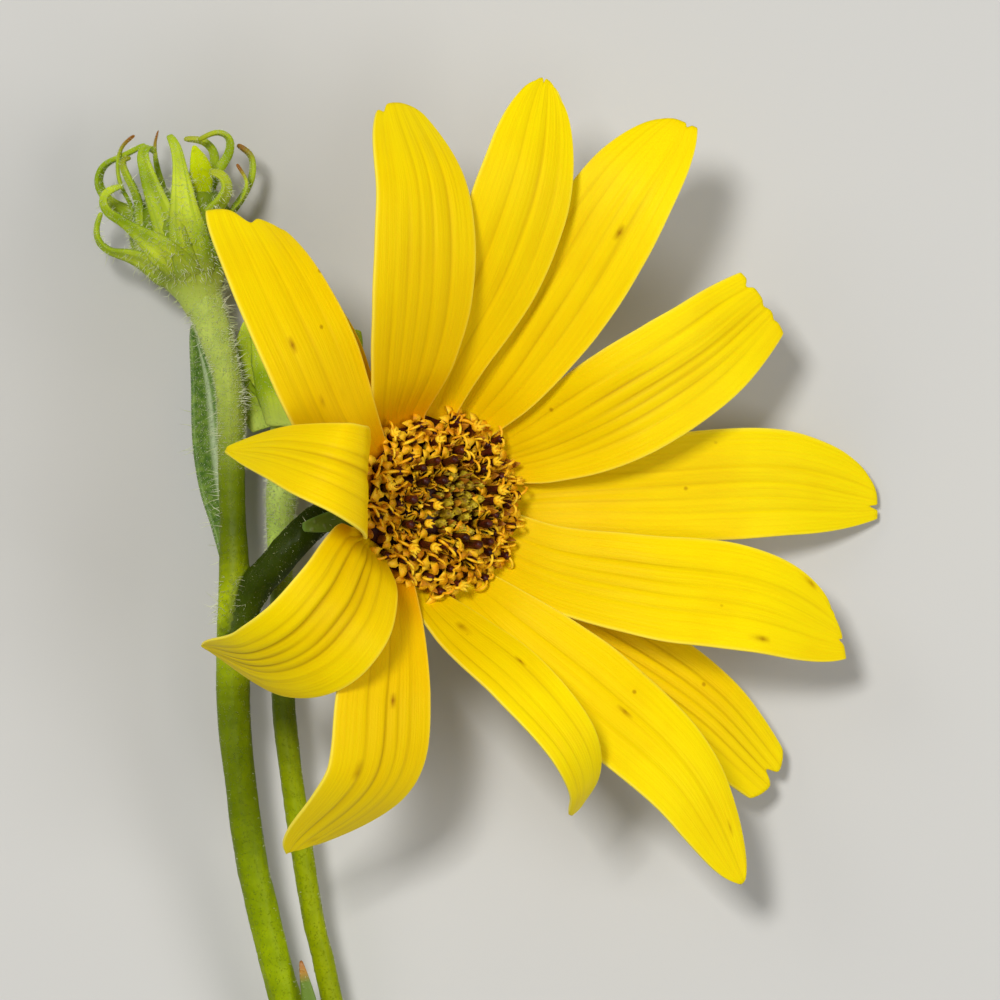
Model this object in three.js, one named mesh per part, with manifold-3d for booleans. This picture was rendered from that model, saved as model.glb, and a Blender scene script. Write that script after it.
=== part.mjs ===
// A cut sprig of showy goldeneye lying on a flat surface, in millimetres, +Z up.
// One open head, two unopened heads, their hairy stems, an upright leaf and a bract.
// +Y runs along the stem towards the flowers, +X to the open head's right-hand petals.
import * as THREE from "three";
import { mergeVertices } from "three/addons/utils/BufferGeometryUtils.js";
import Module from "manifold-3d";

const wasm = await Module();
wasm.setup();

// Driving dimensions.
const BLADE_THICKNESS = 0.6;
const HEAD_TILT = 35;
const HEAD_CENTRE = [-2.8, 12.7, 8.8];
const RAY_RING_RADIUS = 5.25;
const DISC_RADIUS = 4.75;
const DISC_CORE_RADIUS = 4.5;
const DISC_CORE_HEIGHT = 1.5;
const DISC_FLORET_COUNT = 56;
const FLORET_SPREAD = 0.46;
const FLORET_LEAN = 0.3;
const CENTRE_RADIUS = 1.65;
const CENTRE_BUD_COUNT = 16;
const RECEPTACLE_RADIUS = 4.65;
const RECEPTACLE_DEPTH = 3.2;
const PHYLLARY_COUNT = 14;
const PHYLLARY_LENGTH = 3.9;
const TALL_BUD = { size: 1.15, base: [-16.15, 24.6, 4.13], tip: [-17.8, 30.5, 4.13] };
const SMALL_BUD = { size: 0.85, base: [-11.1, 16.8, 4.1], tip: [-10.4, 20.5, 4.1], bracts: 8 };
const LEAF_WIDTH = 2.3;
const FORK_BRACT_WIDTH = 1.1;
const PIECE_GAP = 0.3;
const GOLDEN_ANGLE = Math.PI * (3 - Math.sqrt(5));
const FRAME_SHIFT = [0.15, -0.04, -0.02];

const COLOURS = {
  petal: 0xf5cf00,
  disc: 0xd9921c,
  discCentre: 0xa8902a,
  stem: 0x7d9624,
  involucre: 0x6f8f38,
  bud: 0xa9c653,
  leaf: 0x3f6b38,
  bract: 0x8b6a3c,
};

const sprig = new THREE.Group();

function vector(point) {
  return new THREE.Vector3(point[0], point[1], point[2]);
}

function smoothCurve(points) {
  return new THREE.CatmullRomCurve3(points.map(vector), false, "centripetal");
}

function seededRandom(seed) {
  let state = seed;
  return () => {
    state = (state * 1664525 + 1013904223) % 4294967296;
    return state / 4294967296;
  };
}

// A closed shape as a solid that can be joined to others.
function solidOf(geometry) {
  const bare = geometry.index ? geometry.toNonIndexed() : geometry.clone();
  bare.deleteAttribute("normal");
  bare.deleteAttribute("uv");
  const merged = mergeVertices(bare, 1e-4);
  const mesh = new wasm.Mesh({
    numProp: 3,
    vertProperties: new Float32Array(merged.attributes.position.array),
    triVerts: new Uint32Array(merged.index.array),
  });
  return new wasm.Manifold(mesh);
}

function geometryOf(solid) {
  const mesh = solid.getMesh();
  const geometry = new THREE.BufferGeometry();
  geometry.setAttribute("position", new THREE.BufferAttribute(mesh.vertProperties, 3));
  geometry.setIndex(new THREE.BufferAttribute(mesh.triVerts, 1));
  return geometry;
}

function fuse(geometries) {
  const solids = geometries.map(solidOf);
  const whole = solids.reduce((joined, next) => joined.add(next));
  return geometryOf(whole);
}

function addPiece(name, geometry, colour, roughness) {
  const material = new THREE.MeshStandardMaterial({ color: colour, roughness, metalness: 0 });
  geometry.computeVertexNormals();
  const mesh = new THREE.Mesh(geometry, material);
  mesh.name = name;
  sprig.add(mesh);
}

function closedShape(points, triangles) {
  const geometry = new THREE.BufferGeometry();
  geometry.setFromPoints(points);
  geometry.setIndex(triangles);
  return geometry;
}

// The open head's own axes: its disc plane is turned from the surface towards +X.
const tilt = THREE.MathUtils.degToRad(HEAD_TILT);
const headCentre = vector(HEAD_CENTRE);
const headAxis = new THREE.Vector3(Math.sin(tilt), 0, Math.cos(tilt));
const headRight = new THREE.Vector3(Math.cos(tilt), 0, -Math.sin(tilt));
const headUp = new THREE.Vector3(0, 1, 0);
const headFrame = new THREE.Matrix4().makeBasis(headRight, headUp, headAxis).setPosition(headCentre);

function headPoint(turn, radius, height) {
  const angle = THREE.MathUtils.degToRad(turn);
  const point = new THREE.Vector3(radius * Math.cos(angle), radius * Math.sin(angle), height);
  return point.applyMatrix4(headFrame);
}

// A thin blade swept along a curve: petals, leaves, bracts and phyllaries.
// Its face looks towards `face`; a positive roll lifts its left margin as it points away, and
// a positive slant leaves its left margin that many millimetres longer than its right one.
const BLADE_DEFAULTS = {
  roll: [0, 0],
  width: 6,
  widest: 0.5,
  claw: 0.4,
  tipWidth: 0.2,
  taper: 0.5,
  arch: 0,
  pleat: 0,
  notch: 0,
  slant: 0,
  rows: 10,
  columns: 6,
};

function bladeHalfWidth(t, blade) {
  if (blade.widths) return valueAlong(blade.widths, t) / 2;
  const half = blade.width / 2;
  if (t < blade.widest) {
    const swell = Math.sin(((t / blade.widest) * Math.PI) / 2);
    return half * (blade.claw + (1 - blade.claw) * swell);
  }
  const past = (t - blade.widest) / (1 - blade.widest);
  const drop = 1 - Math.pow(blade.tipWidth, 1 / blade.taper);
  return half * Math.pow(1 - drop * past * past, blade.taper);
}

// The sideways direction along a blade's curve: it faces `face` at the root and doesn't twist.
const SIDE_STEPS = 60;

function bladeSides(curve, face) {
  const sides = [new THREE.Vector3().crossVectors(face, curve.getTangentAt(0)).normalize()];
  for (let i = 1; i <= SIDE_STEPS; i += 1) {
    const along = curve.getTangentAt(i / SIDE_STEPS);
    const side = sides[i - 1].clone();
    sides.push(side.addScaledVector(along, -side.dot(along)).normalize());
  }
  return sides;
}

function bladeGeometry(curve, face, options) {
  const blade = { ...BLADE_DEFAULTS, ...options };
  const { rows, columns } = blade;
  const sides = bladeSides(curve, face);
  const length = curve.getLength();
  const middle = [];
  for (let i = 0; i <= rows; i += 1) {
    for (let j = 0; j <= columns; j += 1) {
      const across = (2 * j) / columns - 1;
      const row = i / rows;
      const shorter = (Math.abs(blade.slant) * (1 - Math.sign(blade.slant) * across)) / 2;
      const setback = blade.notch * (1 - Math.abs(across)) + shorter / length;
      const t = Math.max(0, row - Math.pow(row, 8) * setback);
      const along = curve.getTangentAt(t);
      const side = sides[Math.round(t * SIDE_STEPS)].clone();
      const roll = THREE.MathUtils.degToRad(THREE.MathUtils.lerp(blade.roll[0], blade.roll[1], t));
      side.applyAxisAngle(along, roll);
      const up = new THREE.Vector3().crossVectors(along, side);
      const half = bladeHalfWidth(row, blade);
      const fold = blade.pleat * (j % 2 === 0 ? -1 : 1) * Math.sin(Math.PI * Math.min(1, row * 1.1));
      const height = -blade.arch * across * across * half + fold;
      const point = curve.getPointAt(t).addScaledVector(side, across * half).addScaledVector(up, height);
      middle.push(point);
    }
  }
  return thickSheet(middle, rows, columns);
}

// Both faces of a sheet, split into triangles alike, and the strip round its edge.
function thickSheet(middle, rows, columns) {
  const stride = columns + 1;
  const at = (i, j) => i * stride + j;
  const top = [];
  const bottom = [];
  for (let i = 0; i <= rows; i += 1) {
    for (let j = 0; j <= columns; j += 1) {
      const along = new THREE.Vector3().subVectors(
        middle[at(Math.min(rows, i + 1), j)],
        middle[at(Math.max(0, i - 1), j)],
      );
      const across = new THREE.Vector3().subVectors(
        middle[at(i, Math.min(columns, j + 1))],
        middle[at(i, Math.max(0, j - 1))],
      );
      const normal = new THREE.Vector3().crossVectors(along, across).normalize();
      const half = BLADE_THICKNESS / 2;
      top.push(middle[at(i, j)].clone().addScaledVector(normal, half));
      bottom.push(middle[at(i, j)].clone().addScaledVector(normal, -half));
    }
  }
  const count = top.length;
  const triangles = [];
  for (let i = 0; i < rows; i += 1) {
    for (let j = 0; j < columns; j += 1) {
      const a = at(i, j);
      const b = at(i + 1, j);
      const c = at(i + 1, j + 1);
      const d = at(i, j + 1);
      triangles.push(a, b, c, a, c, d);
      triangles.push(count + a, count + c, count + b, count + a, count + d, count + c);
    }
  }
  const rim = [];
  for (let j = 0; j < columns; j += 1) rim.push(at(0, j));
  for (let i = 0; i < rows; i += 1) rim.push(at(i, columns));
  for (let j = columns; j > 0; j -= 1) rim.push(at(rows, j));
  for (let i = rows; i > 0; i -= 1) rim.push(at(i, 0));
  rim.forEach((here, k) => {
    const next = rim[(k + 1) % rim.length];
    triangles.push(here, next, count + next, here, count + next, count + here);
  });
  return closedShape([...top, ...bottom], triangles);
}

// A round stalk along a curve, its radius following a list of [place along it, radius].
function stalkGeometry(curve, radii, steps, sides) {
  const frames = curve.computeFrenetFrames(steps, false);
  const points = [];
  const triangles = [];
  for (let i = 0; i <= steps; i += 1) {
    const t = i / steps;
    const centre = curve.getPointAt(t);
    const radius = valueAlong(radii, t);
    for (let k = 0; k < sides; k += 1) {
      const angle = (2 * Math.PI * k) / sides;
      const point = centre.clone();
      point.addScaledVector(frames.normals[i], radius * Math.cos(angle));
      point.addScaledVector(frames.binormals[i], radius * Math.sin(angle));
      points.push(point);
    }
  }
  for (let i = 0; i < steps; i += 1) {
    for (let k = 0; k < sides; k += 1) {
      const next = (k + 1) % sides;
      const a = i * sides + k;
      const b = i * sides + next;
      const c = (i + 1) * sides + next;
      const d = (i + 1) * sides + k;
      triangles.push(a, b, c, a, c, d);
    }
  }
  const last = steps * sides;
  for (let k = 1; k < sides - 1; k += 1) {
    triangles.push(0, k + 1, k);
    triangles.push(last, last + k, last + k + 1);
  }
  return closedShape(points, triangles);
}

function valueAlong(stations, t) {
  for (let i = 1; i < stations.length; i += 1) {
    const [place, value] = stations[i];
    const [placeBefore, valueBefore] = stations[i - 1];
    if (t <= place) {
      return THREE.MathUtils.mapLinear(t, placeBefore, place, valueBefore, value);
    }
  }
  return stations[stations.length - 1][1];
}

// Ray petals, clockwise from the upper left. Each starts on the ring round the disc at `turn`
// degrees, `low` millimetres below it, and runs through the given places to its tip.
const PETALS = [
  {
    turn: 152, low: 0, width: 6.2, roll: [-14, -6], widest: 0.5, tipWidth: 0.6, slant: 2.2,
    path: [[-8.2, 17.4, 15.7], [-9.9, 21.4, 18.5], [-11.9, 25.7, 18.3], [-13.9, 29.5, 16.3]],
  },
  {
    turn: 119, low: 0, width: 6.8, roll: [-20, -10], widest: 0.55, tipWidth: 0.42,
    path: [[-4.1, 20.1, 14], [-3.4, 25.1, 17.1], [-3.5, 30.5, 17.8], [-4.9, 35, 15.9]],
  },
  {
    turn: 92, low: 0, width: 6, roll: [-23, -17], widest: 0.6, tipWidth: 0.22,
    path: [[-2, 20.6, 11], [0.6, 25.7, 13.2], [2.4, 31, 14.2], [3.3, 36.4, 12.6]],
  },
  {
    turn: 61, low: 0, width: 6.1, roll: [-20, -36], widest: 0.55, tipWidth: 0.25,
    path: [[1.2, 19.6, 9], [4.6, 24.8, 10.8], [8, 30.2, 11.6], [11.4, 33.8, 10.2]],
  },
  {
    turn: 28, low: 0, width: 6.5, roll: [-14, 0], widest: 0.5, tipWidth: 0.55,
    path: [[3.3, 16, 7.2], [7.5, 18.1, 9], [12, 20.9, 8.8], [15.6, 24, 6.8]],
  },
  {
    turn: 2, low: 0.8, width: 6.3, roll: [0, 0], widest: 0.6, tipWidth: 0.42, slant: -0.5,
    path: [[4.1, 13.2, 5.6], [10, 13.5, 5.6], [16.5, 13.7, 3.85], [22, 12.8, 0.34]],
  },
  {
    turn: -28, low: 0, width: 6.4, roll: [0, 0], widest: 0.6, tipWidth: 0.36, slant: -1.2,
    path: [[3.9, 9, 7.2], [9.2, 8, 8.4], [15.6, 7.3, 7.2], [20.6, 4.6, 4.4]],
  },
  {
    turn: -47, low: 1, width: 5.6, roll: [0, 0], widest: 0.6, tipWidth: 0.6,
    path: [[2.7, 7, 6], [7.4, 4.4, 5.6], [12.3, 1, 4.2], [16.2, -3, 2]],
  },
  {
    turn: -64, low: 0, width: 5.6, roll: [22, 8], widest: 0.48, tipWidth: 0.15, taper: 0.65,
    path: [[1.3, 6, 9], [6.1, 2, 9.8], [11, -2.6, 9.4], [14.4, -8.7, 6.8]],
  },
  {
    turn: -97, low: 0, width: 4, roll: [24, 32], widest: 0.42, tipWidth: 0.12, taper: 0.65,
    path: [[-1.6, 5.7, 11.5], [1.9, 2.8, 14.2], [4.9, -0.8, 14.2], [5.6, -3.1, 12.2], [4.9, -4.7, 10]],
  },
  {
    turn: -127, low: 0, width: 6.6, roll: [22, 2], widest: 0.58, tipWidth: 0.24, slant: 1.2,
    path: [[-5.5, 6, 12.9], [-5.7, 2, 14.6], [-6.3, -2.7, 14], [-10.7, -7.1, 10.4]],
  },
  {
    turn: -152, low: 0, width: 7, roll: [24, 8], widest: 0.54, tipWidth: 0.05,
    taper: 0.8, claw: 0.3,
    path: [
      [-6.8, 9.3, 15.75],
      [-7.9, 6.8, 18.5],
      [-9.9, 4.6, 18.5],
      [-12.6, 3.6, 16.7],
      [-15.9, 4.7, 13.4],
    ],
  },
  {
    turn: 176, low: -0.3, width: 6.2, roll: [2, 4], widest: 0.36, tipWidth: 0.05, taper: 1,
    path: [
      [-6.7, 13.55, 16.45],
      [-6.9, 14.1, 21.2],
      [-8.5, 14.8, 22.5],
      [-11.3, 15.5, 20.9],
      [-14.5, 15.6, 17.6],
    ],
  },
  {
    turn: 137, low: 1, width: 5.4, roll: [0, 0], widest: 0.5, tipWidth: 0.2,
    path: [[-7.8, 18.3, 11.8], [-8.8, 20.6, 13.2], [-10, 23.6, 14], [-12, 26.6, 13.2]],
  },
];

const PETAL_FORM = { pleat: 0.09, arch: 0.06, notch: 0.02 };
const LOW_PETAL_SPREAD = 0.2;

PETALS.forEach((petal, index) => {
  const root = headPoint(petal.turn, RAY_RING_RADIUS + LOW_PETAL_SPREAD * petal.low, -petal.low);
  const curve = smoothCurve([root.toArray(), ...petal.path]);
  const number = String(index + 1).padStart(2, "0");
  const geometry = bladeGeometry(curve, headAxis, { ...petal, ...PETAL_FORM });
  addPiece("ray_petal_" + number, geometry, COLOURS.petal, 0.55);
});

// The green cup that the petals and florets grow from, with two rings of narrow bracts.
const cupProfile = [
  [0, -RECEPTACLE_DEPTH],
  [1.05, -RECEPTACLE_DEPTH],
  [1.9, -2.7],
  [3.4, -2.1],
  [4.3, -1.4],
  [RECEPTACLE_RADIUS, -0.7],
  [RECEPTACLE_RADIUS, -PIECE_GAP],
  [0, -PIECE_GAP],
];

// A profile of [radius, height] turned round the axis of the given frame.
function turnedGeometry(profile, sides, frame) {
  const outline = profile.map(([radius, height]) => new THREE.Vector2(radius, height));
  const geometry = new THREE.LatheGeometry(outline, sides);
  geometry.rotateX(Math.PI / 2);
  return geometry.applyMatrix4(frame);
}

function headPhyllary(index) {
  const inner = index % 2 === 0;
  const turn = (360 * (index + 0.4)) / PHYLLARY_COUNT;
  const radius = inner ? 4.0 : 3.3;
  const height = inner ? -1.7 : -2.3;
  const length = inner ? PHYLLARY_LENGTH : PHYLLARY_LENGTH * 0.85;
  const lift = inner ? 0.1 : -0.5;
  const curve = new THREE.QuadraticBezierCurve3(
    headPoint(turn, radius - 0.5, height),
    headPoint(turn, radius + length * 0.5, height + lift * 0.4),
    headPoint(turn, radius + length, height + lift - 0.3),
  );
  const shape = { width: 1.3, widest: 0.3, claw: 0.8, tipWidth: 0.3, taper: 0.8, rows: 4, columns: 2 };
  return bladeGeometry(curve, headAxis, { ...shape, arch: 0.2 });
}

const cup = turnedGeometry(cupProfile, 24, headFrame);
const headPhyllaries = Array.from({ length: PHYLLARY_COUNT }, (unused, index) => headPhyllary(index));
addPiece("involucre", fuse([cup, ...headPhyllaries]), COLOURS.involucre, 0.75);

// Disc florets stand on a low dome, spaced by the golden angle.
function domeHeight(radius) {
  const share = Math.min(1, radius / DISC_CORE_RADIUS);
  return DISC_CORE_HEIGHT * (1 - share * share);
}

// A frame at a floret's root, its own +Z leaning outwards with the dome.
function floretFrame(index, count, inside, outside, lean) {
  const share = (index + 0.5) / count;
  const radius = Math.sqrt(THREE.MathUtils.lerp(inside * inside, outside * outside, share));
  const angle = index * GOLDEN_ANGLE;
  const place = new THREE.Vector3(radius * Math.cos(angle), radius * Math.sin(angle), domeHeight(radius));
  const outward = lean * (radius / DISC_RADIUS);
  const up = new THREE.Vector3(
    Math.cos(angle) * Math.sin(outward),
    Math.sin(angle) * Math.sin(outward),
    Math.cos(outward),
  );
  const turned = new THREE.Quaternion().setFromUnitVectors(new THREE.Vector3(0, 0, 1), up);
  const local = new THREE.Matrix4().compose(place, turned, new THREE.Vector3(1, 1, 1));
  return new THREE.Matrix4().multiplyMatrices(headFrame, local);
}

// One open floret: a tube that widens to five spread lobes, round a column of anthers.
function openFloret(height, spread, columnHeight, spin) {
  const lobes = 5;
  const rings = [
    { radius: 0.2, height: -0.25, star: false },
    { radius: spread, height: height - 0.1, star: true },
    { radius: 0.15, height: height - 0.25, star: false },
    { radius: 0.15, height: height + columnHeight, star: false },
  ];
  const points = [];
  const ringStart = [];
  rings.forEach((ring) => {
    ringStart.push(points.length);
    const count = ring.star ? lobes * 2 : lobes;
    for (let k = 0; k < count; k += 1) {
      const valley = ring.star && k % 2 === 1;
      const radius = valley ? ring.radius * 0.5 : ring.radius;
      const angle = spin + (2 * Math.PI * k) / count;
      const drop = valley ? 0.12 : 0;
      points.push(new THREE.Vector3(radius * Math.cos(angle), radius * Math.sin(angle), ring.height - drop));
    }
  });
  const [base, star, throat, column] = ringStart;
  const starAt = (k) => star + (k % (lobes * 2));
  const triangles = [];
  for (let k = 0; k < lobes; k += 1) {
    const next = (k + 1) % lobes;
    triangles.push(base + k, starAt(2 * k + 1), starAt(2 * k));
    triangles.push(base + k, base + next, starAt(2 * k + 1));
    triangles.push(base + next, starAt(2 * k + 2), starAt(2 * k + 1));
    triangles.push(throat + k, starAt(2 * k), starAt(2 * k + 1));
    triangles.push(throat + k, starAt(2 * k + 1), throat + next);
    triangles.push(throat + next, starAt(2 * k + 1), starAt(2 * k + 2));
    triangles.push(throat + k, throat + next, column + next);
    triangles.push(throat + k, column + next, column + k);
  }
  for (let k = 1; k < lobes - 1; k += 1) {
    triangles.push(base, base + k + 1, base + k);
    triangles.push(column, column + k, column + k + 1);
  }
  return closedShape(points, triangles);
}

const discRandom = seededRandom(7);
const discCore = turnedGeometry(
  [
    [0, 0],
    [DISC_CORE_RADIUS, 0],
    [DISC_CORE_RADIUS, 0.25],
    [3.6, domeHeight(3.6)],
    [2.6, domeHeight(2.6)],
    [CENTRE_RADIUS, domeHeight(CENTRE_RADIUS)],
    [CENTRE_RADIUS, 0.5],
    [0, 0.5],
  ],
  20,
  headFrame,
);
const openFlorets = Array.from({ length: DISC_FLORET_COUNT }, (unused, index) => {
  const frame = floretFrame(index, DISC_FLORET_COUNT, CENTRE_RADIUS + 0.1, DISC_RADIUS - 0.4, FLORET_LEAN);
  const height = 0.85 + 0.3 * discRandom();
  const floret = openFloret(height, FLORET_SPREAD, 0.35 + 0.3 * discRandom(), 2 * Math.PI * discRandom());
  return floret.applyMatrix4(frame);
});
addPiece("disc_florets", fuse([discCore, ...openFlorets]), COLOURS.disc, 0.7);

// The unopened florets in the middle of the disc, on their own small plug.
const centrePlug = turnedGeometry(
  [
    [0, 0.5 + PIECE_GAP],
    [CENTRE_RADIUS - PIECE_GAP, 0.5 + PIECE_GAP],
    [CENTRE_RADIUS - PIECE_GAP, DISC_CORE_HEIGHT],
    [0, DISC_CORE_HEIGHT + 0.15],
  ],
  16,
  headFrame,
);
const closedFlorets = Array.from({ length: CENTRE_BUD_COUNT }, (unused, index) => {
  const frame = floretFrame(index, CENTRE_BUD_COUNT, 0, CENTRE_RADIUS - 0.4, FLORET_LEAN);
  const bud = new THREE.LatheGeometry(
    [[0, -0.4], [0.2, -0.4], [0.26, 0.6], [0.16, 0.9], [0, 1]].map(([r, h]) => new THREE.Vector2(r, h)),
    5,
  );
  bud.rotateX(Math.PI / 2);
  bud.scale(1, 1, 0.8 + 0.3 * discRandom());
  return bud.applyMatrix4(frame);
});
addPiece("disc_centre_buds", fuse([centrePlug, ...closedFlorets]), COLOURS.discCentre, 0.7);

// Stems: the main stem, the thinner second stem that forks from it near the cut, and the
// open head's stalk are one grown piece.
const mainStem = smoothCurve([
  [-8.5, -36.5, 1.05],
  [-8.6, -29.2, 1.5],
  [-9.4, -21.9, 2.3],
  [-11.5, -14.4, 3.4],
  [-12.7, -9.6, 4],
  [-13.2, -7.3, 4.3],
  [-13.8, -2.9, 4.6],
  [-14.2, 1.6, 4.8],
  [-14.1, 7.2, 5],
  [-14.3, 14.5, 4.8],
  [-14.4, 19, 4.6],
  [-14.8, 20.8, 4.5],
  [-15.5, 23, 4.3],
  [-15.95, 24.28, 4.2],
]);
const mainStemRadii = [
  [0, 1.05],
  [0.3, 0.92],
  [0.55, 0.9],
  [0.68, 1.02],
  [0.78, 0.76],
  [0.94, 0.8],
  [1, 1.05],
];
const secondStem = smoothCurve([
  [-9, -25, 2],
  [-8.3, -18.5, 2.6],
  [-8.9, -14.2, 3],
  [-9.7, -10.7, 3.3],
  [-10.9, -2.9, 3.6],
  [-11.4, 1.6, 3.7],
  [-11.5, 7.8, 3.8],
  [-11.5, 12.8, 4],
  [-11.2, 16.2, 4.1],
]);
const secondStemRadii = [[0, 0.7], [0.3, 0.62], [0.8, 0.68], [0.9, 0.85], [1, 1]];
const stalkEnd = headPoint(0, 0, -RECEPTACLE_DEPTH - PIECE_GAP);
const headStalk = smoothCurve([
  [-14.1, 5, 5],
  [-13.1, 7.7, 5.4],
  [-12, 9, 6],
  [-10.9, 10.3, 6.3],
  [-9.3, 11.8, 5.8],
  [-7, 12.6, 5],
  [-5.6, 12.7, 5.1],
  stalkEnd.toArray(),
]);
const headStalkRadii = [[0, 0.75], [0.2, 0.95], [0.8, 0.9], [1, 1.05]];
const stems = fuse([
  stalkGeometry(mainStem, mainStemRadii, 24, 9),
  stalkGeometry(secondStem, secondStemRadii, 14, 8),
  stalkGeometry(headStalk, headStalkRadii, 14, 8),
]);
addPiece("stem", stems, COLOURS.stem, 0.7);

// The upright leaf lies behind the main stem and shows its left half.
const leafCurve = smoothCurve([
  [-14.2, 8.6, 3.42],
  [-14.6, 11.6, 2.7],
  [-15, 13.4, 2.5],
  [-15.3, 15.6, 2.5],
  [-15.7, 19.5, 2.6],
  [-16.5, 22.7, 3],
]);
const leaf = bladeGeometry(leafCurve, new THREE.Vector3(0, 0, 1), {
  width: LEAF_WIDTH,
  widest: 0.5,
  claw: 0.4,
  tipWidth: 0.15,
  taper: 0.7,
  arch: -0.2,
  columns: 4,
  rows: 10,
});
addPiece("stem_leaf", leaf, COLOURS.leaf, 0.8);

const bractCurve = smoothCurve([
  [-9.2, -19.4, 4.15],
  [-9.8, -16, 4.35],
  [-10.4, -13, 4.7],
]);
const bract = bladeGeometry(bractCurve, new THREE.Vector3(0, 0, 1), {
  width: FORK_BRACT_WIDTH,
  widest: 0.3,
  claw: 0.7,
  tipWidth: 0.3,
  taper: 0.8,
  arch: 0.2,
  rows: 6,
  columns: 2,
});
addPiece("fork_bract", bract, COLOURS.bract, 0.75);

// An unopened head: a green body under narrow bracts that stand out and roll back inwards.
function budFrame({ base, tip, size }) {
  const along = new THREE.Vector3().subVectors(vector(tip), vector(base)).normalize();
  const turned = new THREE.Quaternion().setFromUnitVectors(new THREE.Vector3(0, 0, 1), along);
  return new THREE.Matrix4().compose(vector(base), turned, new THREE.Vector3(size, size, size));
}

const BUD_PROFILE = [[1, 0], [1.35, 0.7], [2, 1.35], [2.55, 2.3], [2.6, 3.3], [2.2, 4.4], [1.3, 5], [0, 5.1]];

function budRadius(height) {
  return valueAlong(BUD_PROFILE.map(([radius, place]) => [place, radius]), height);
}

// Widths of a bract along its length: it is broad where it lies on the body.
const NARROW_BRACT = [[0, 1.3], [0.3, 1.1], [0.45, 0.66], [1, 0.45]];
const BROAD_BRACT = [[0, 1.8], [0.35, 1.6], [0.65, 1], [1, 0.45]];
const THIN_BRACT = [[0, 1], [0.3, 0.7], [0.45, 0.5], [1, 0.35]];
const RAY_TIP = [[0, 1.4], [0.6, 1.3], [1, 0.35]];

// Where a bract lies on a bud's body: it runs up from its foot to the height where it leaves.
function bodyPlaces(turn, height, shares) {
  return shares.map((share) => {
    const place = 0.2 + (height - 0.2) * share;
    const radius = budRadius(place) - 0.02;
    return new THREE.Vector3(radius * Math.cos(turn), radius * Math.sin(turn), place);
  });
}

function bractGeometry(points, outward, widths) {
  return bladeGeometry(new THREE.CatmullRomCurve3(points), outward, { widths, rows: 9, columns: 2 });
}

// A bract by rule: off the body at `height`, it first heads `start` degrees above level and
// turns by `coil` along its free `length`.
function curledBract(turn, height, start, coil, length) {
  const points = bodyPlaces(0, height, [0.15, 0.55, 1]);
  const steps = 8;
  for (let i = 0; i < steps; i += 1) {
    const heading = THREE.MathUtils.degToRad(start + coil * Math.pow((i + 0.5) / steps, 1.3));
    const next = points[points.length - 1].clone();
    next.x += (length / steps) * Math.cos(heading);
    next.z += (length / steps) * Math.sin(heading);
    points.push(next);
  }
  const angle = THREE.MathUtils.degToRad(turn);
  const bract = bractGeometry(points, new THREE.Vector3(1, 0, 0), NARROW_BRACT);
  return bract.rotateZ(angle);
}

// A bract placed by hand: it runs up the body below its first place, then through the others.
function placedBract({ widths, path }, frame) {
  const places = path.map(vector);
  const first = places[0].clone().applyMatrix4(frame.clone().invert());
  const turn = Math.atan2(first.y, first.x);
  const below = bodyPlaces(turn, first.z, [0.15, 0.6]);
  below.forEach((point) => point.applyMatrix4(frame));
  const outward = new THREE.Vector3(Math.cos(turn), Math.sin(turn), 0).transformDirection(frame);
  return bractGeometry([...below, ...places], outward, widths);
}

function budBody(frame) {
  return turnedGeometry([[0, 0], ...BUD_PROFILE], 12, frame);
}

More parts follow.
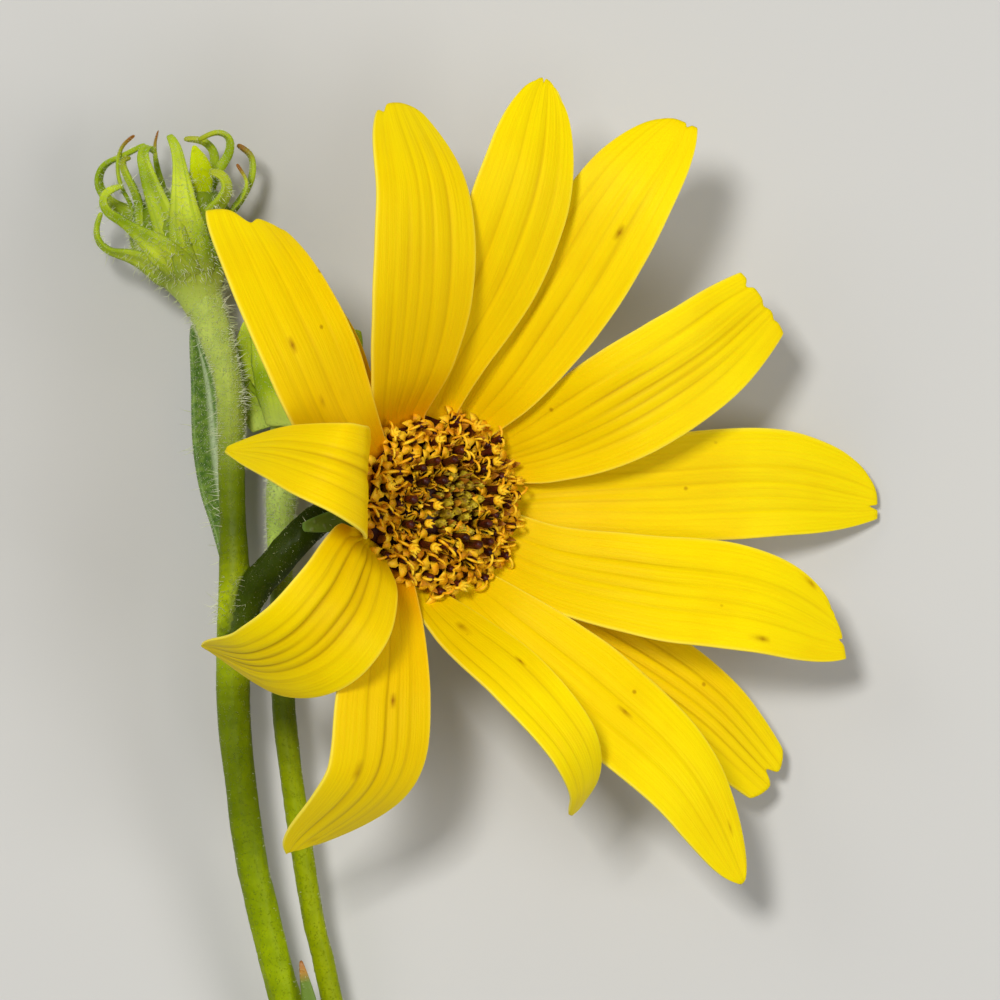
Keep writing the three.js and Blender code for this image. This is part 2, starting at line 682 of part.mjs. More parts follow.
// The tall bud's bracts that face up, from the left round to the right. The last is the tip
// of its first petal.
const TALL_BUD_BRACTS = [
  {
    widths: NARROW_BRACT,
    path: [
      [-18.3, 25.8, 5.6],
      [-19.4, 26.2, 5.1],
      [-21.1, 26.6, 4.6],
      [-21.8, 27.2, 4.5],
      [-21.9, 28.1, 4.3],
      [-21.6, 29, 4.2],
    ],
  },
  {
    widths: NARROW_BRACT,
    path: [
      [-19.6, 28.6, 2.8],
      [-21.2, 29.6, 3.5],
      [-21.8, 30.6, 3.6],
      [-21.5, 31.6, 3.9],
      [-20.3, 32.2, 4.6],
      [-19.1, 32.8, 5.2],
    ],
  },
  {
    widths: NARROW_BRACT,
    path: [
      [-19.2, 28.3, 6.2],
      [-20.1, 28.4, 6.3],
      [-21, 28.8, 6.1],
      [-21.3, 29.5, 6],
      [-20.9, 30.1, 5.9],
      [-20.3, 30.3, 5.8],
    ],
  },
  {
    widths: THIN_BRACT,
    path: [
      [-19.9, 29.2, 4.6],
      [-20.5, 30.4, 4.7],
      [-20.7, 31.6, 4.8],
      [-20.4, 32.7, 5],
      [-19.7, 33.3, 5.1],
    ],
  },
  {
    widths: NARROW_BRACT,
    path: [
      [-19.5, 29.4, 5.6],
      [-19.8, 30.3, 5.9],
      [-20.3, 31.3, 6],
      [-20.4, 31.9, 6.1],
      [-19.9, 32, 6.1],
    ],
  },
  {
    widths: BROAD_BRACT,
    path: [
      [-17.7, 27.7, 7.03],
      [-18.4, 29.4, 6.9],
      [-19, 31.1, 6.7],
      [-19.25, 32.3, 6.5],
      [-18.9, 32.7, 6],
      [-18.6, 32.3, 5.6],
    ],
  },
  {
    widths: THIN_BRACT,
    path: [
      [-18.1, 30.2, 2.6],
      [-18.5, 31.6, 3],
      [-18.6, 32.8, 3],
      [-18.4, 33.6, 3],
    ],
  },
  {
    widths: BROAD_BRACT,
    path: [
      [-16.6, 27.3, 7.06],
      [-16.9, 29, 7.1],
      [-17.1, 31, 7],
      [-17.4, 32.6, 6.9],
      [-17.8, 33.3, 6.4],
    ],
  },
  {
    widths: NARROW_BRACT,
    path: [
      [-15.6, 29.4, 3.4],
      [-15, 31.3, 4.2],
      [-14.4, 32.3, 4.4],
      [-14.4, 33.2, 4.6],
      [-15.1, 33.5, 4.8],
      [-16.2, 33, 5],
    ],
  },
  {
    widths: NARROW_BRACT,
    path: [
      [-15.9, 29.9, 2.6],
      [-15.3, 31.4, 3],
      [-15.3, 32.4, 3.2],
      [-15.9, 33, 3.4],
      [-17, 33.1, 3.6],
    ],
  },
  {
    widths: NARROW_BRACT,
    path: [
      [-14.4, 28.6, 3],
      [-13.6, 29.9, 3.1],
      [-13.1, 31.1, 3.2],
      [-13.2, 32.2, 3.2],
      [-14, 32.8, 3.2],
    ],
  },
  {
    widths: THIN_BRACT,
    path: [
      [-14.4, 28.8, 4.6],
      [-13.7, 29.7, 4.7],
      [-13.4, 30.6, 4.7],
      [-14, 31.7, 4.6],
    ],
  },
  {
    widths: NARROW_BRACT,
    path: [
      [-15, 28.9, 5.6],
      [-14.3, 29.7, 6.1],
      [-14.2, 30.5, 6.3],
      [-14.7, 31.2, 6.5],
      [-15.5, 31.3, 6.6],
    ],
  },
  {
    widths: RAY_TIP,
    path: [
      [-15.7, 28.7, 6.4],
      [-15.9, 30.2, 6.5],
      [-16.2, 31.6, 6.5],
      [-16.4, 32.6, 6.5],
    ],
  },
];

// The bracts at its back, by rule: degrees round it from its right, and the height they leave at.
const TALL_BUD_BACK = [
  { turn: 55, height: 2.2, start: 40, coil: 150 },
  { turn: 90, height: 2.4, start: 30, coil: 128 },
  { turn: 125, height: 2.2, start: 40, coil: 150 },
];
const BACK_BRACT_LENGTH = 2.6;

function tallBud() {
  const frame = budFrame(TALL_BUD);
  const front = TALL_BUD_BRACTS.map((bract) => placedBract(bract, frame));
  const back = TALL_BUD_BACK.map(({ turn, height, start, coil }) =>
    curledBract(turn, height, start, coil, BACK_BRACT_LENGTH).applyMatrix4(frame),
  );
  return fuse([budBody(frame), ...front, ...back]);
}

// The small bud's bracts stand by rule, spaced by the golden angle.
function smallBud() {
  const frame = budFrame(SMALL_BUD);
  const pieces = [budBody(frame)];
  const random = seededRandom(31);
  for (let i = 0; i < SMALL_BUD.bracts; i += 1) {
    const turn = (i * 137.5) % 360;
    const share = i / (SMALL_BUD.bracts - 1);
    const height = THREE.MathUtils.lerp(1.3, 4.4, share);
    const start = THREE.MathUtils.lerp(15, 78, share);
    const coil = THREE.MathUtils.lerp(235, 190, share) + 50 * (random() - 0.5);
    const length = THREE.MathUtils.lerp(6.6, 4.4, share) * (0.92 + 0.16 * random());
    pieces.push(curledBract(turn, height, start, coil, length).applyMatrix4(frame));
  }
  return fuse(pieces);
}

addPiece("bud_tall_stem", tallBud(), COLOURS.bud, 0.75);
addPiece("bud_second_stem", smallBud(), COLOURS.bud, 0.75);

sprig.position.set(...FRAME_SHIFT);

export default sprig;
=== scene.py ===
# The looks of a cut sprig of showy goldeneye that lies on a table, in metres, +Z up.
import math
import random

import bmesh
import bpy
from mathutils import Matrix, Vector, noise
from mathutils.kdtree import KDTree


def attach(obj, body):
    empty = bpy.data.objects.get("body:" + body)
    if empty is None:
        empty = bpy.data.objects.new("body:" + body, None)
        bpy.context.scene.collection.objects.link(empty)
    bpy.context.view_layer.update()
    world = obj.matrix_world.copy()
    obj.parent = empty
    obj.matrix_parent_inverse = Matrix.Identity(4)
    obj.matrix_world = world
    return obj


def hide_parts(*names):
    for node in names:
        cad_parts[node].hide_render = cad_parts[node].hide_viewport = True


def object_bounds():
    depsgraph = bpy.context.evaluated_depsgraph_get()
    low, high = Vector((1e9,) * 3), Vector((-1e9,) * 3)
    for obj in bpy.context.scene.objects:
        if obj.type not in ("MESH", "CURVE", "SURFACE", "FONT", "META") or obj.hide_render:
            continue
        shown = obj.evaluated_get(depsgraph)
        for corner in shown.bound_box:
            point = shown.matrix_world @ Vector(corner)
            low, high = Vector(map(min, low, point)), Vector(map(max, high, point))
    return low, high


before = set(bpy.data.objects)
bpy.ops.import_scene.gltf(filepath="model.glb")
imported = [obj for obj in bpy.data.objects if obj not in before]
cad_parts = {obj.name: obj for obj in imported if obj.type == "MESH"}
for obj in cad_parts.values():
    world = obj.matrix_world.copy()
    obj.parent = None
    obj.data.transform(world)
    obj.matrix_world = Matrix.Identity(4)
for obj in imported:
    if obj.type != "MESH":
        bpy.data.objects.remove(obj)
cad_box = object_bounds()


# Ray petals
# Each is one thin, soft, yellow strap of tissue, grown by a narrow claw on the rim of the head.
# Long shallow folds run along it and end in the small notches of its tip.
MM = 0.001
FRAME_SHIFT = Vector((0.15, -0.04, -0.02))
HEAD_TILT = math.radians(35)
HEAD_CENTRE = Vector((-2.8, 12.7, 8.8))
HEAD_AXIS = Vector((math.sin(HEAD_TILT), 0, math.cos(HEAD_TILT)))
HEAD_RIGHT = Vector((math.cos(HEAD_TILT), 0, -math.sin(HEAD_TILT)))
HEAD_UP = Vector((0, 1, 0))
RAY_RING_RADIUS = 5.25
PETAL_ROOT_RADIUS = 4.6
LOW_PETAL_SPREAD = 0.2
PETAL_THICKNESS = 0.22
PETAL_ROWS = 38
PETAL_COLUMNS = 52
PETAL_CHANNEL = 0.22
PETAL_WAVER = 0.16
PETAL_FRILL = 0.05
GROOVE_WIDTH = 0.045
GROOVE_SLOPE = 0.16
GROOVE_WANDER = 0.05
GROOVE_SHADE_WIDTH = 0.03
PLAIN_GROOVE = 0.14
MARGIN_WIDTH = 0.03

# Clockwise from the upper left; the last lies behind the first two. "turn" is degrees round the
# head from its right, "low" millimetres below its rim, "base" how far the orange root reaches out,
# 1 where it isn't said, and "roll" degrees about the spine at the root and the tip. The blade
# starts with "claw" of its width, is full at "widest" and ends with "tip" of it. "round" is how
# many millimetres the tip's corners fall back, the same for both or first for the side below
# nought, "slant" how much further one side does, and "trim" how much the side below nought
# narrows. Grooves are (across, depth), notches (across, depth, width) and spots, the blemishes,
# (across, along, wide, long), with across from -1 to 1.
PETALS = [
    {
        "turn": 152, "low": 0, "width": 6.3, "roll": (-14, -6), "widest": 0.52,
        "tip": 0.62, "round": 0.5, "slant": 2.1,
        "path": [(-8.2, 17.4, 15.7), (-9.9, 21.4, 18.5), (-12, 25.7, 18.3), (-14.2, 29.7, 16.3)],
        "grooves": [(-0.55, 0.05), (-0.1, 0.06), (0.35, 0.05), (0.6, 0.04)],
        "notches": [(-0.12, 0.7, 0.24)],
        "spots": [(-0.3, 0.33, 0.05, 0.008), (0.3, 0.55, 0.04, 0.012), (0.2, 0.36, 0.04, 0.01)],
    },
    {
        "turn": 119, "low": 0, "width": 6.8, "roll": (-20, -10), "widest": 0.55,
        "tip": 0.45, "round": 0.6,
        "path": [(-4.1, 20.1, 14), (-3.4, 25.1, 17.1), (-3.55, 30.5, 17.8), (-5.05, 35, 15.9)],
        "grooves": [(-0.5, 0.11), (-0.16, 0.07), (0.12, 0.06), (0.34, 0.06), (0.62, 0.07)],
        "notches": [(0.64, 0.36, 0.15)],
    },
    {
        "turn": 92, "base": 0.7, "low": 0, "width": 6, "roll": (-23, -17), "widest": 0.6,
        "tip": 0.22, "round": 0.5,
        "path": [(-2, 20.6, 11), (0.6, 25.7, 13.2), (2.4, 31, 14.2), (3.3, 36.4, 12.6)],
        "grooves": [(-0.2, 0.11), (0.32, 0.09), (-0.6, 0.05)],
        "notches": [(0.05, 0.3, 0.08)],
    },
    {
        "turn": 61, "base": 0.5, "low": 0, "width": 6.1, "roll": (-20, -36), "widest": 0.55,
        "tip": 0.32, "round": (0, 0.5), "slant": -0.5,
        "path": [(1.2, 19.6, 9), (4.6, 24.8, 10.8), (8, 30.3, 11.6), (11.05, 34.25, 10.2)],
        "grooves": [(-0.06, 0.12), (0.34, 0.07), (-0.42, 0.06), (0.62, 0.04)],
        "notches": [(-0.5, 0.22, 0.12)],
        "spots": [(-0.3, 0.66, 0.05, 0.008)],
    },
    {
        "turn": 28, "base": 0.3, "low": 0, "width": 6.5, "roll": (-14, 0), "widest": 0.52,
        "tip": 0.66, "taper": 0.45, "round": 0.15,
        "path": [(3.3, 16, 7.2), (7.5, 18.1, 9), (12, 20.9, 8.8), (15.6, 24, 6.8)],
        "grooves": [(0.56, 0.1), (0.26, 0.14), (0.02, 0.13), (-0.16, 0.1), (-0.36, 0.13), (-0.55, 0.06)],
        "notches": [(0.6, 0.35, 0.1), (-0.1, 0.2, 0.12), (-0.55, 0.15, 0.1)],
    },
    {
        "turn": 2, "base": 0.2, "low": 0.8, "width": 6.3, "roll": (0, 0), "claw": 0.55,
        "widest": 0.6, "tip": 0.44, "round": (0, 0.8), "slant": -0.5, "trim": 0.32,
        "path": [(4.1, 13.2, 5.6), (10, 13.5, 5.6), (16.5, 13.7, 3.85), (22.25, 12.7, 0.34)],
        "grooves": [(0.34, 0.07), (0.04, 0.06), (-0.22, 0.05), (-0.5, 0.05)],
        "notches": [(-0.36, 0.55, 0.1)],
    },
    {
        "turn": -28, "base": 0.15, "low": 0, "width": 6.4, "roll": (0, 0), "claw": 0.58,
        "widest": 0.6, "tip": 0.36, "round": (0, 0.5), "slant": -1.2, "trim": 0.1,
        "path": [(3.9, 9, 7.2), (9.2, 8, 8.4), (15.5, 7.1, 7.2), (20.5, 4.85, 4.4)],
        "grooves": [(0.42, 0.06), (0.14, 0.05), (-0.12, 0.05), (-0.4, 0.04)],
        "notches": [(-0.2, 0.3, 0.1)],
        "spots": [(-0.72, 0.73, 0.05, 0.016), (0.86, 0.86, 0.06, 0.014)],
    },
    {
        "turn": -47, "low": 1, "width": 5.6, "roll": (0, 0), "widest": 0.6,
        "tip": 0.66, "round": 0.6,
        "path": [(2.7, 7, 6), (7.4, 4.4, 5.6), (12.3, 1, 4.2), (16.2, -3, 2)],
        "grooves": [(0.5, 0.12), (0.24, 0.14), (0.0, 0.18), (-0.26, 0.16), (-0.52, 0.1)],
        "notches": [(0.08, 0.8, 0.16)],
    },
    {
        "turn": -64, "base": 0.15, "low": 0, "width": 5.7, "roll": (22, 8), "widest": 0.48,
        "tip": 0.06, "taper": 0.62, "round": 0.1,
        "path": [(1.3, 6, 9), (6.1, 2, 9.8), (11, -2.6, 9.4), (14.4, -8.7, 6.8)],
        "grooves": [(-0.3, 0.04), (0.22, 0.05)],
        "notches": [],
        "spots": [(0.5, 0.86, 0.05, 0.01), (0.1, 0.5, 0.03, 0.006)],
    },
    {
        "turn": -97, "base": 0, "low": 0, "width": 4, "roll": (24, 32), "widest": 0.42,
        "tip": 0.3, "taper": 0.65, "round": 0.5,
        "path": [(-1.6, 5.7, 11.5), (1.9, 2.8, 14.2), (4.9, -0.8, 14.2), (5.6, -3.1, 12.2), (4.9, -4.7, 10)],
        "grooves": [(-0.62, 0.07), (-0.2, 0.04), (0.4, 0.04)],
        "notches": [],
        "spots": [(0.1, 0.22, 0.12, 0.014), (0.45, 0.42, 0.04, 0.008)],
    },
    {
        "turn": -127, "low": 0, "width": 6.6, "roll": (22, 2), "widest": 0.58,
        "tip": 0.02, "taper": 0.6, "round": 0.1, "slant": -0.6,
        "path": [(-5.5, 6, 12.9), (-5.7, 2, 14.6), (-6.3, -2.7, 14), (-11.2, -7.05, 10.4)],
        "grooves": [(-0.34, 0.1), (0.06, 0.12), (0.3, 0.07), (0.56, 0.05)],
        "notches": [],
        "spots": [(-0.4, 0.62, 0.07, 0.014), (0.25, 0.93, 0.1, 0.008), (0.2, 0.42, 0.04, 0.01)],
    },
    {
        "turn": -152, "base": 0.5, "low": 0, "width": 7, "roll": (24, 8), "claw": 0.3,
        "widest": 0.54, "tip": 0.03, "taper": 0.85, "round": 0.1,
        "path": [
            (-6.8, 9.3, 15.75), (-7.9, 6.8, 18.5), (-9.9, 4.6, 18.5), (-12.6, 3.6, 16.7), (-15.9, 4.7, 13.4),
        ],
        "grooves": [(-0.62, 0.14), (-0.38, 0.2), (-0.16, 0.17), (0.04, 0.2), (0.22, 0.12), (0.5, 0.08)],
        "notches": [],
    },
    {
        "turn": 176, "low": -0.3, "width": 6.2, "roll": (2, 4), "widest": 0.36,
        "tip": 0.05, "taper": 1, "round": 0.1,
        "path": [
            (-6.7, 13.55, 16.45), (-6.9, 14.1, 21.2), (-8.5, 14.8, 22.5), (-11.3, 15.5, 20.9),
            (-14.5, 15.6, 17.6),
        ],
        "grooves": [(-0.4, 0.08), (-0.12, 0.1), (0.14, 0.11), (0.42, 0.08)],
        "notches": [],
    },
    {
        "turn": 137, "low": 1, "width": 5.4, "roll": (0, 0), "widest": 0.5,
        "tip": 0.2, "round": 0.3,
        "path": [(-7.8, 18.3, 11.8), (-9, 20.6, 13.2), (-10.6, 23.4, 14), (-12.6, 26.2, 13.2)],
        "grooves": [(0.1, 0.08), (-0.4, 0.06)],
        "notches": [(0.1, 0.3, 0.1)],
    },
]


def in_frame(point):
    """A place in millimetres in the sprig's own axes, as metres in the shared frame."""
    return (Vector(point) + FRAME_SHIFT) * MM


def to_sprig(place):
    """A place in metres in the shared frame, as millimetres in the sprig's own axes."""
    return place / MM - FRAME_SHIFT


def head_point(turn, radius, height):
    """A place on the open head: degrees round its axis, millimetres from it and above the rim."""
    angle = math.radians(turn)
    outward = math.cos(angle) * HEAD_RIGHT + math.sin(angle) * HEAD_UP
    return HEAD_CENTRE + radius * outward + height * HEAD_AXIS


class Spine:
    """A smooth curve through given places, with a sideways direction that doesn't twist."""

    STEPS = 120
    FINE = 40

    def __init__(self, places, face):
        places = [Vector(place) for place in places]
        self.points = self.evenly_spaced(self.smoothed(places))
        self.length = sum((b - a).length for a, b in zip(self.points, self.points[1:]))
        self.sides = [Vector(face).cross(self.heading(0)).normalized()]
        for step in range(1, self.STEPS + 1):
            heading = self.heading(step)
            side = self.sides[-1] - heading * self.sides[-1].dot(heading)
            self.sides.append(side.normalized())

    def smoothed(self, places):
        first = 2 * places[0] - places[1]
        last = 2 * places[-1] - places[-2]
        knots = [first, *places, last]
        points = []
        for index in range(len(places) - 1):
            a, b, c, d = knots[index : index + 4]
            before, within, after = ((q - p).length ** 0.5 for p, q in ((a, b), (b, c), (c, d)))
            leave = ((b - a) / before - (c - a) / (before + within) + (c - b) / within) * within
            reach = ((c - b) / within - (d - b) / (within + after) + (d - c) / after) * within
            for step in range(self.FINE):
                s = step / self.FINE
                curve = (3 * (c - b) - 2 * leave - reach) * s**2 + (2 * (b - c) + leave + reach) * s**3
                points.append(b + leave * s + curve)
        return [*points, places[-1]]

    def evenly_spaced(self, points):
        lengths = [0]
        for a, b in zip(points, points[1:]):
            lengths.append(lengths[-1] + (b - a).length)
        spaced = []
        index = 0
        for step in range(self.STEPS + 1):
            wanted = lengths[-1] * step / self.STEPS
            while index < len(points) - 2 and lengths[index + 1] < wanted:
                index += 1
            share = (wanted - lengths[index]) / (lengths[index + 1] - lengths[index])
            spaced.append(points[index].lerp(points[index + 1], share))
        return spaced

    def heading(self, step):
        before = self.points[max(0, step - 1)]
        after = self.points[min(self.STEPS, step + 1)]
        return (after - before).normalized()

    def point(self, share):
        place = min(max(share, 0), 1) * self.STEPS
        index = min(int(place), self.STEPS - 1)
        return self.points[index].lerp(self.points[index + 1], place - index)

    def axes(self, share, roll=0):
        """The directions sideways and out of the face at a share of the length."""
        step = round(min(max(share, 0), 1) * self.STEPS)
        along = self.heading(step)
        side = Matrix.Rotation(math.radians(roll), 3, along) @ self.sides[step]
        return side, along.cross(side)


def value_along(stations, share):
    """The value at a share of a length, from a list of (share, value)."""
    for (before, low), (after, high) in zip(stations, stations[1:]):
        if share <= after:
            return low + (high - low) * (share - before) / (after - before)
    return stations[-1][1]


def half_width(share, blade):
    """A blade's half width: by stations, or a narrow claw that swells and rounds off to the tip."""
    if "widths" in blade:
        return value_along(blade["widths"], share) / 2
    half = blade["width"] / 2
    claw = blade.get("claw", 0.4)
    widest = blade["widest"]
    taper = blade.get("taper", 0.5)
    if share < widest:
        return half * (claw + (1 - claw) * math.sin(share / widest * math.pi / 2))
    past = (share - widest) / (1 - widest)
    drop = 1 - blade["tip"] ** (1 / taper)
    return half * (1 - drop * past**2) ** taper


def bell(distance, width):
    return math.exp(-((distance / width) ** 2))


def shaped_sheet(name, rows, columns, place_of, thickness, levels=1, place_in=in_frame, marks_of=None):
    """A grid whose points place_of(across, along) gives in millimetres, made a thin smooth solid.

    marks_of(across, along) gives four shares from 0 to 1 that the material reads as "marks".
    """
    bpy.ops.object.select_all(action="DESELECT")
    bpy.ops.mesh.primitive_grid_add(x_subdivisions=columns, y_subdivisions=rows, size=2)
    piece = bpy.context.object
    piece.name = name
    if marks_of:
        marks = piece.data.color_attributes.new("marks", "FLOAT_COLOR", "POINT")
    for vertex in piece.data.vertices:
        across = -vertex.co.x
        along = (vertex.co.y + 1) / 2
        vertex.co = place_in(place_of(across, along))
        if marks_of:
            marks.data[vertex.index].color = marks_of(across, along)
    solidify = piece.modifiers.new("thickness", "SOLIDIFY")
    solidify.thickness = thickness * MM
    solidify.offset = 0
    bpy.ops.object.modifier_apply(modifier="thickness")
    if levels > 0:
        smooth = piece.modifiers.new("smooth", "SUBSURF")
        smooth.levels = levels
        smooth.render_levels = levels
        bpy.ops.object.modifier_apply(modifier="smooth")
    bpy.ops.object.shade_smooth()
    return piece


def groove_place(spot, along, seed):
    """Where a groove runs at a share of the length: it wanders a little from its place across."""
    return spot + GROOVE_WANDER * noise.noise(Vector((spot * 5, along * 2.2, seed)))


def groove_strength(spot, along, seed):
    """How plain a groove is at a share of the length: it fades and comes back."""
    return 0.85 + 0.9 * noise.noise(Vector((spot * 7 + 4, along * 3.4, seed + 0.5)))


def groove_depth(petal, across, along, seed):
    """How deep the grooves lie: each falls steeply on one side and rises slowly on the other."""
    fade = math.sin(math.pi * min(1, 0.04 + along * 0.98)) ** 0.6
    total = 0
    for spot, depth in petal["grooves"]:
        off = across - groove_place(spot, along, seed)
        width = GROOVE_WIDTH if off < 0 else GROOVE_SLOPE
        total += depth * groove_strength(spot, along, seed) * bell(off, width)
    return fade * total


def petal_surface(petal, seed):
    """Where the blade lies: a channel at its root, grooves, a slow waver and a fine frill."""
    low = petal["low"]
    hidden_root = head_point(petal["turn"], PETAL_ROOT_RADIUS + LOW_PETAL_SPREAD * low, -low - 0.2)
    root = head_point(petal["turn"], RAY_RING_RADIUS + LOW_PETAL_SPREAD * low, -low)
    spine = Spine([hidden_root, root, *petal["path"]], HEAD_AXIS)
    rounds = petal["round"]
    round_below, round_above = rounds if isinstance(rounds, tuple) else (rounds, rounds)

    def place(across, along):
        notch = sum(depth * bell(across - spot, wide) for spot, depth, wide in petal["notches"])
        slant = petal.get("slant", 0)
        shorter = abs(slant) * (1 - math.copysign(across, slant * across)) / 2
        rounded = round_below if across < 0 else round_above
        setback = along**8 * (notch + shorter + rounded * abs(across) ** 2.5) / spine.length
        share = along - setback
        half = half_width(along, petal)
        if across < 0:
            half *= 1 - petal.get("trim", 0) * along**6
        roll = petal["roll"][0] + (petal["roll"][1] - petal["roll"][0]) * share
        side, up = spine.axes(share, roll)
        channel = PETAL_CHANNEL * (1 - along) ** 3 - 0.06
        waver = noise.noise(Vector((across * 1.4, along * 3.5, seed * 7.3)))
        height = channel * across**2 * half - groove_depth(petal, across, along, seed)
        height += PETAL_WAVER * waver * abs(across) * along
        frill = PETAL_FRILL * noise.noise(Vector((math.copysign(3, across), along * 9, seed * 3.1)))
        return spine.point(share) + side * across * (half + frill) + up * height

    return place


def petal_marks(petal, seed):
    """Shares of painted shade along the grooves, brown blemish, painted highlight on the thin edge and
    orange root over a petal.
    """

    def marks(across, along):
        groove_shade = 0
        for spot, depth in petal["grooves"]:
            off = across - groove_place(spot, along, seed)
            strength = depth / PLAIN_GROOVE * groove_strength(spot, along, seed)
            # Each groove adds a dark stripe of painted shade, strongest where it lies deepest.
            groove_shade += strength * (0.75 * bell(off, GROOVE_SHADE_WIDTH) + 0.25 * bell(off - 0.06, 0.1))
        fade = math.sin(math.pi * min(1, 0.02 + along * 0.96)) ** 0.4
        blemish = 0
        for spot_across, spot_along, wide, long in petal.get("spots", []):
            blemish += bell(across - spot_across, wide) * bell(along - spot_along, long)
        # A painted highlight along the blade's thin edge.
        margin_highlight = bell(1 - abs(across), MARGIN_WIDTH)
        return min(1, max(0, groove_shade * fade)), min(1, blemish), margin_highlight, petal.get("base", 1)

    return marks


def new_material(name, roughness):
    """A material with its node tree and Principled node, ready for colour and bump."""
    material = bpy.data.materials.new(name)
    material.use_nodes = True
    principled = material.node_tree.nodes["Principled BSDF"]
    principled.inputs["Roughness"].default_value = roughness
    return material, material.node_tree, principled


def add_node(tree, kind, inputs=None, **settings):
    """A node with its settings; an input is a plain value or another node's output."""
    node = tree.nodes.new("ShaderNode" + kind)
    for key, value in settings.items():
        setattr(node, key, value)
    for key, value in (inputs or {}).items():
        if isinstance(value, bpy.types.NodeSocket):
            tree.links.new(value, node.inputs[key])
        else:
            node.inputs[key].default_value = value
    return node


def remapped(tree, value, low, high, first=0.0, last=1.0):
    """A value whose range from low to high is spread from first to last, and held outside it."""
    limits = {"From Min": low, "From Max": high, "To Min": first, "To Max": last}
    return add_node(tree, "MapRange", {"Value": value, **limits}).outputs[0]


def product(tree, value, factor):
    return add_node(tree, "Math", {0: value, 1: factor}, operation="MULTIPLY").outputs[0]


def add_ramp(tree, value, stops):
    """A colour ramp over a value from 0 to 1, from a list of (place, colour)."""
    ramp = add_node(tree, "ValToRGB", {"Fac": value})
    elements = ramp.color_ramp.elements
    while len(elements) < len(stops):
        elements.new(0.5)
    for element, (place, colour) in zip(elements, stops):
        element.position = place
        element.color = (*colour, 1)
    return ramp.outputs["Color"]


def mixed(tree, share, first, second, blend="MIX"):
    """Two colours mixed by a share; each is a colour or another node's output."""
    node = add_node(tree, "Mix", data_type="RGBA", blend_type=blend)
    for index, value in ((0, share), (6, first), (7, second)):
        if isinstance(value, bpy.types.NodeSocket):
            tree.links.new(value, node.inputs[index])
        else:
            node.inputs[index].default_value = value if index == 0 else (*value, 1)
    return node.outputs[2]


def add_bump(tree, principled, height, strength, distance):
    bump = add_node(tree, "Bump", {"Height": height, "Strength": strength, "Distance": distance})
    tree.links.new(bump.outputs["Normal"], principled.inputs["Normal"])


def make_fleshy(principled, weight, radius, scale, gloss):
    """Lets light soak into tissue, and sets how little its surface shines."""
    principled.inputs["Subsurface Weight"].default_value = weight
    principled.inputs["Subsurface Radius"].default_value = radius
    principled.inputs["Subsurface Scale"].default_value = scale
    principled.inputs["Specular IOR Level"].default_value = gloss


def dress(piece, material):
    piece.data.materials.clear()
    piece.data.materials.append(material)


def fit(piece, material, node=None):
    """Dresses a finished piece and hands it over, in place of its CAD node if it has one."""
    dress(piece, material)
    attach(piece, "root")
    if node:
        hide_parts(node)


def new_group(name, inputs, outputs):
    """An empty shader node group of numbers: inputs with their defaults, and named outputs."""
    group = bpy.data.node_groups.new(name, "ShaderNodeTree")
    for socket, value in inputs.items():
        made = group.interface.new_socket(socket, in_out="INPUT", socket_type="NodeSocketFloat")
        made.default_value = value
    for socket in outputs:
        group.interface.new_socket(socket, in_out="OUTPUT", socket_type="NodeSocketFloat")
    entry = group.nodes.new("NodeGroupInput")
    leave = group.nodes.new("NodeGroupOutput")
    return group, entry.outputs, leave.inputs


def lengthwise_fibres():
    """Fine streaks that run along a blade, read from its own UV map."""
    defaults = {"Streaks": 40.0, "Stretch": 2.0}
    group, given, made = new_group("lengthwise fibres", defaults, ["Streak", "Blotch"])
    where = add_node(group, "TexCoord")
    split = add_node(group, "SeparateXYZ", {"Vector": where.outputs["UV"]})
    spot = add_node(group, "SeparateXYZ", {"Vector": where.outputs["Object"]})
    across = product(group, split.outputs["X"], given["Streaks"])
    along = product(group, split.outputs["Y"], given["Stretch"])
    drift = product(group, spot.outputs["X"], 90.0)
    vector = add_node(group, "CombineXYZ", {"X": across, "Y": along, "Z": drift})
    streak = add_node(group, "TexNoise", {"Vector": vector.outputs[0], "Scale": 1.0, "Detail": 3.0})
    blotch = add_node(group, "TexNoise", {"Vector": where.outputs["Object"], "Scale": 260.0, "Detail": 2.0})
    group.links.new(streak.outputs["Fac"], made["Streak"])
    group.links.new(blotch.outputs["Fac"], made["Blotch"])
    return group


FIBRES = lengthwise_fibres()


def add_group(tree, group, inputs):
    return add_node(tree, "Group", inputs, node_tree=group)


# A petal's yellows from its root outwards, then the colours that are mixed over them; the groove brown is
# painted shade and the lemon of the thin edge a painted highlight.
PETAL_YELLOWS = [
    (0.0, (0.6, 0.2, 0.0)),
    (0.08, (0.72, 0.34, 0.0)),
    (0.22, (0.82, 0.51, 0.0)),
    (0.5, (0.85, 0.59, 0.0)),
    (0.85, (0.87, 0.65, 0.0)),
    (1.0, (0.9, 0.7, 0.0)),
]
VEIN_OCHRE = (0.68, 0.42, 0.0)
BLOTCH_AMBER = (0.8, 0.5, 0.0)
MARGIN_HIGHLIGHT = (1.0, 0.84, 0.12)
PAINTED_GROOVE_SHADE = (0.42, 0.23, 0.0)
BLEMISH_BROWN = (0.28, 0.09, 0.0)


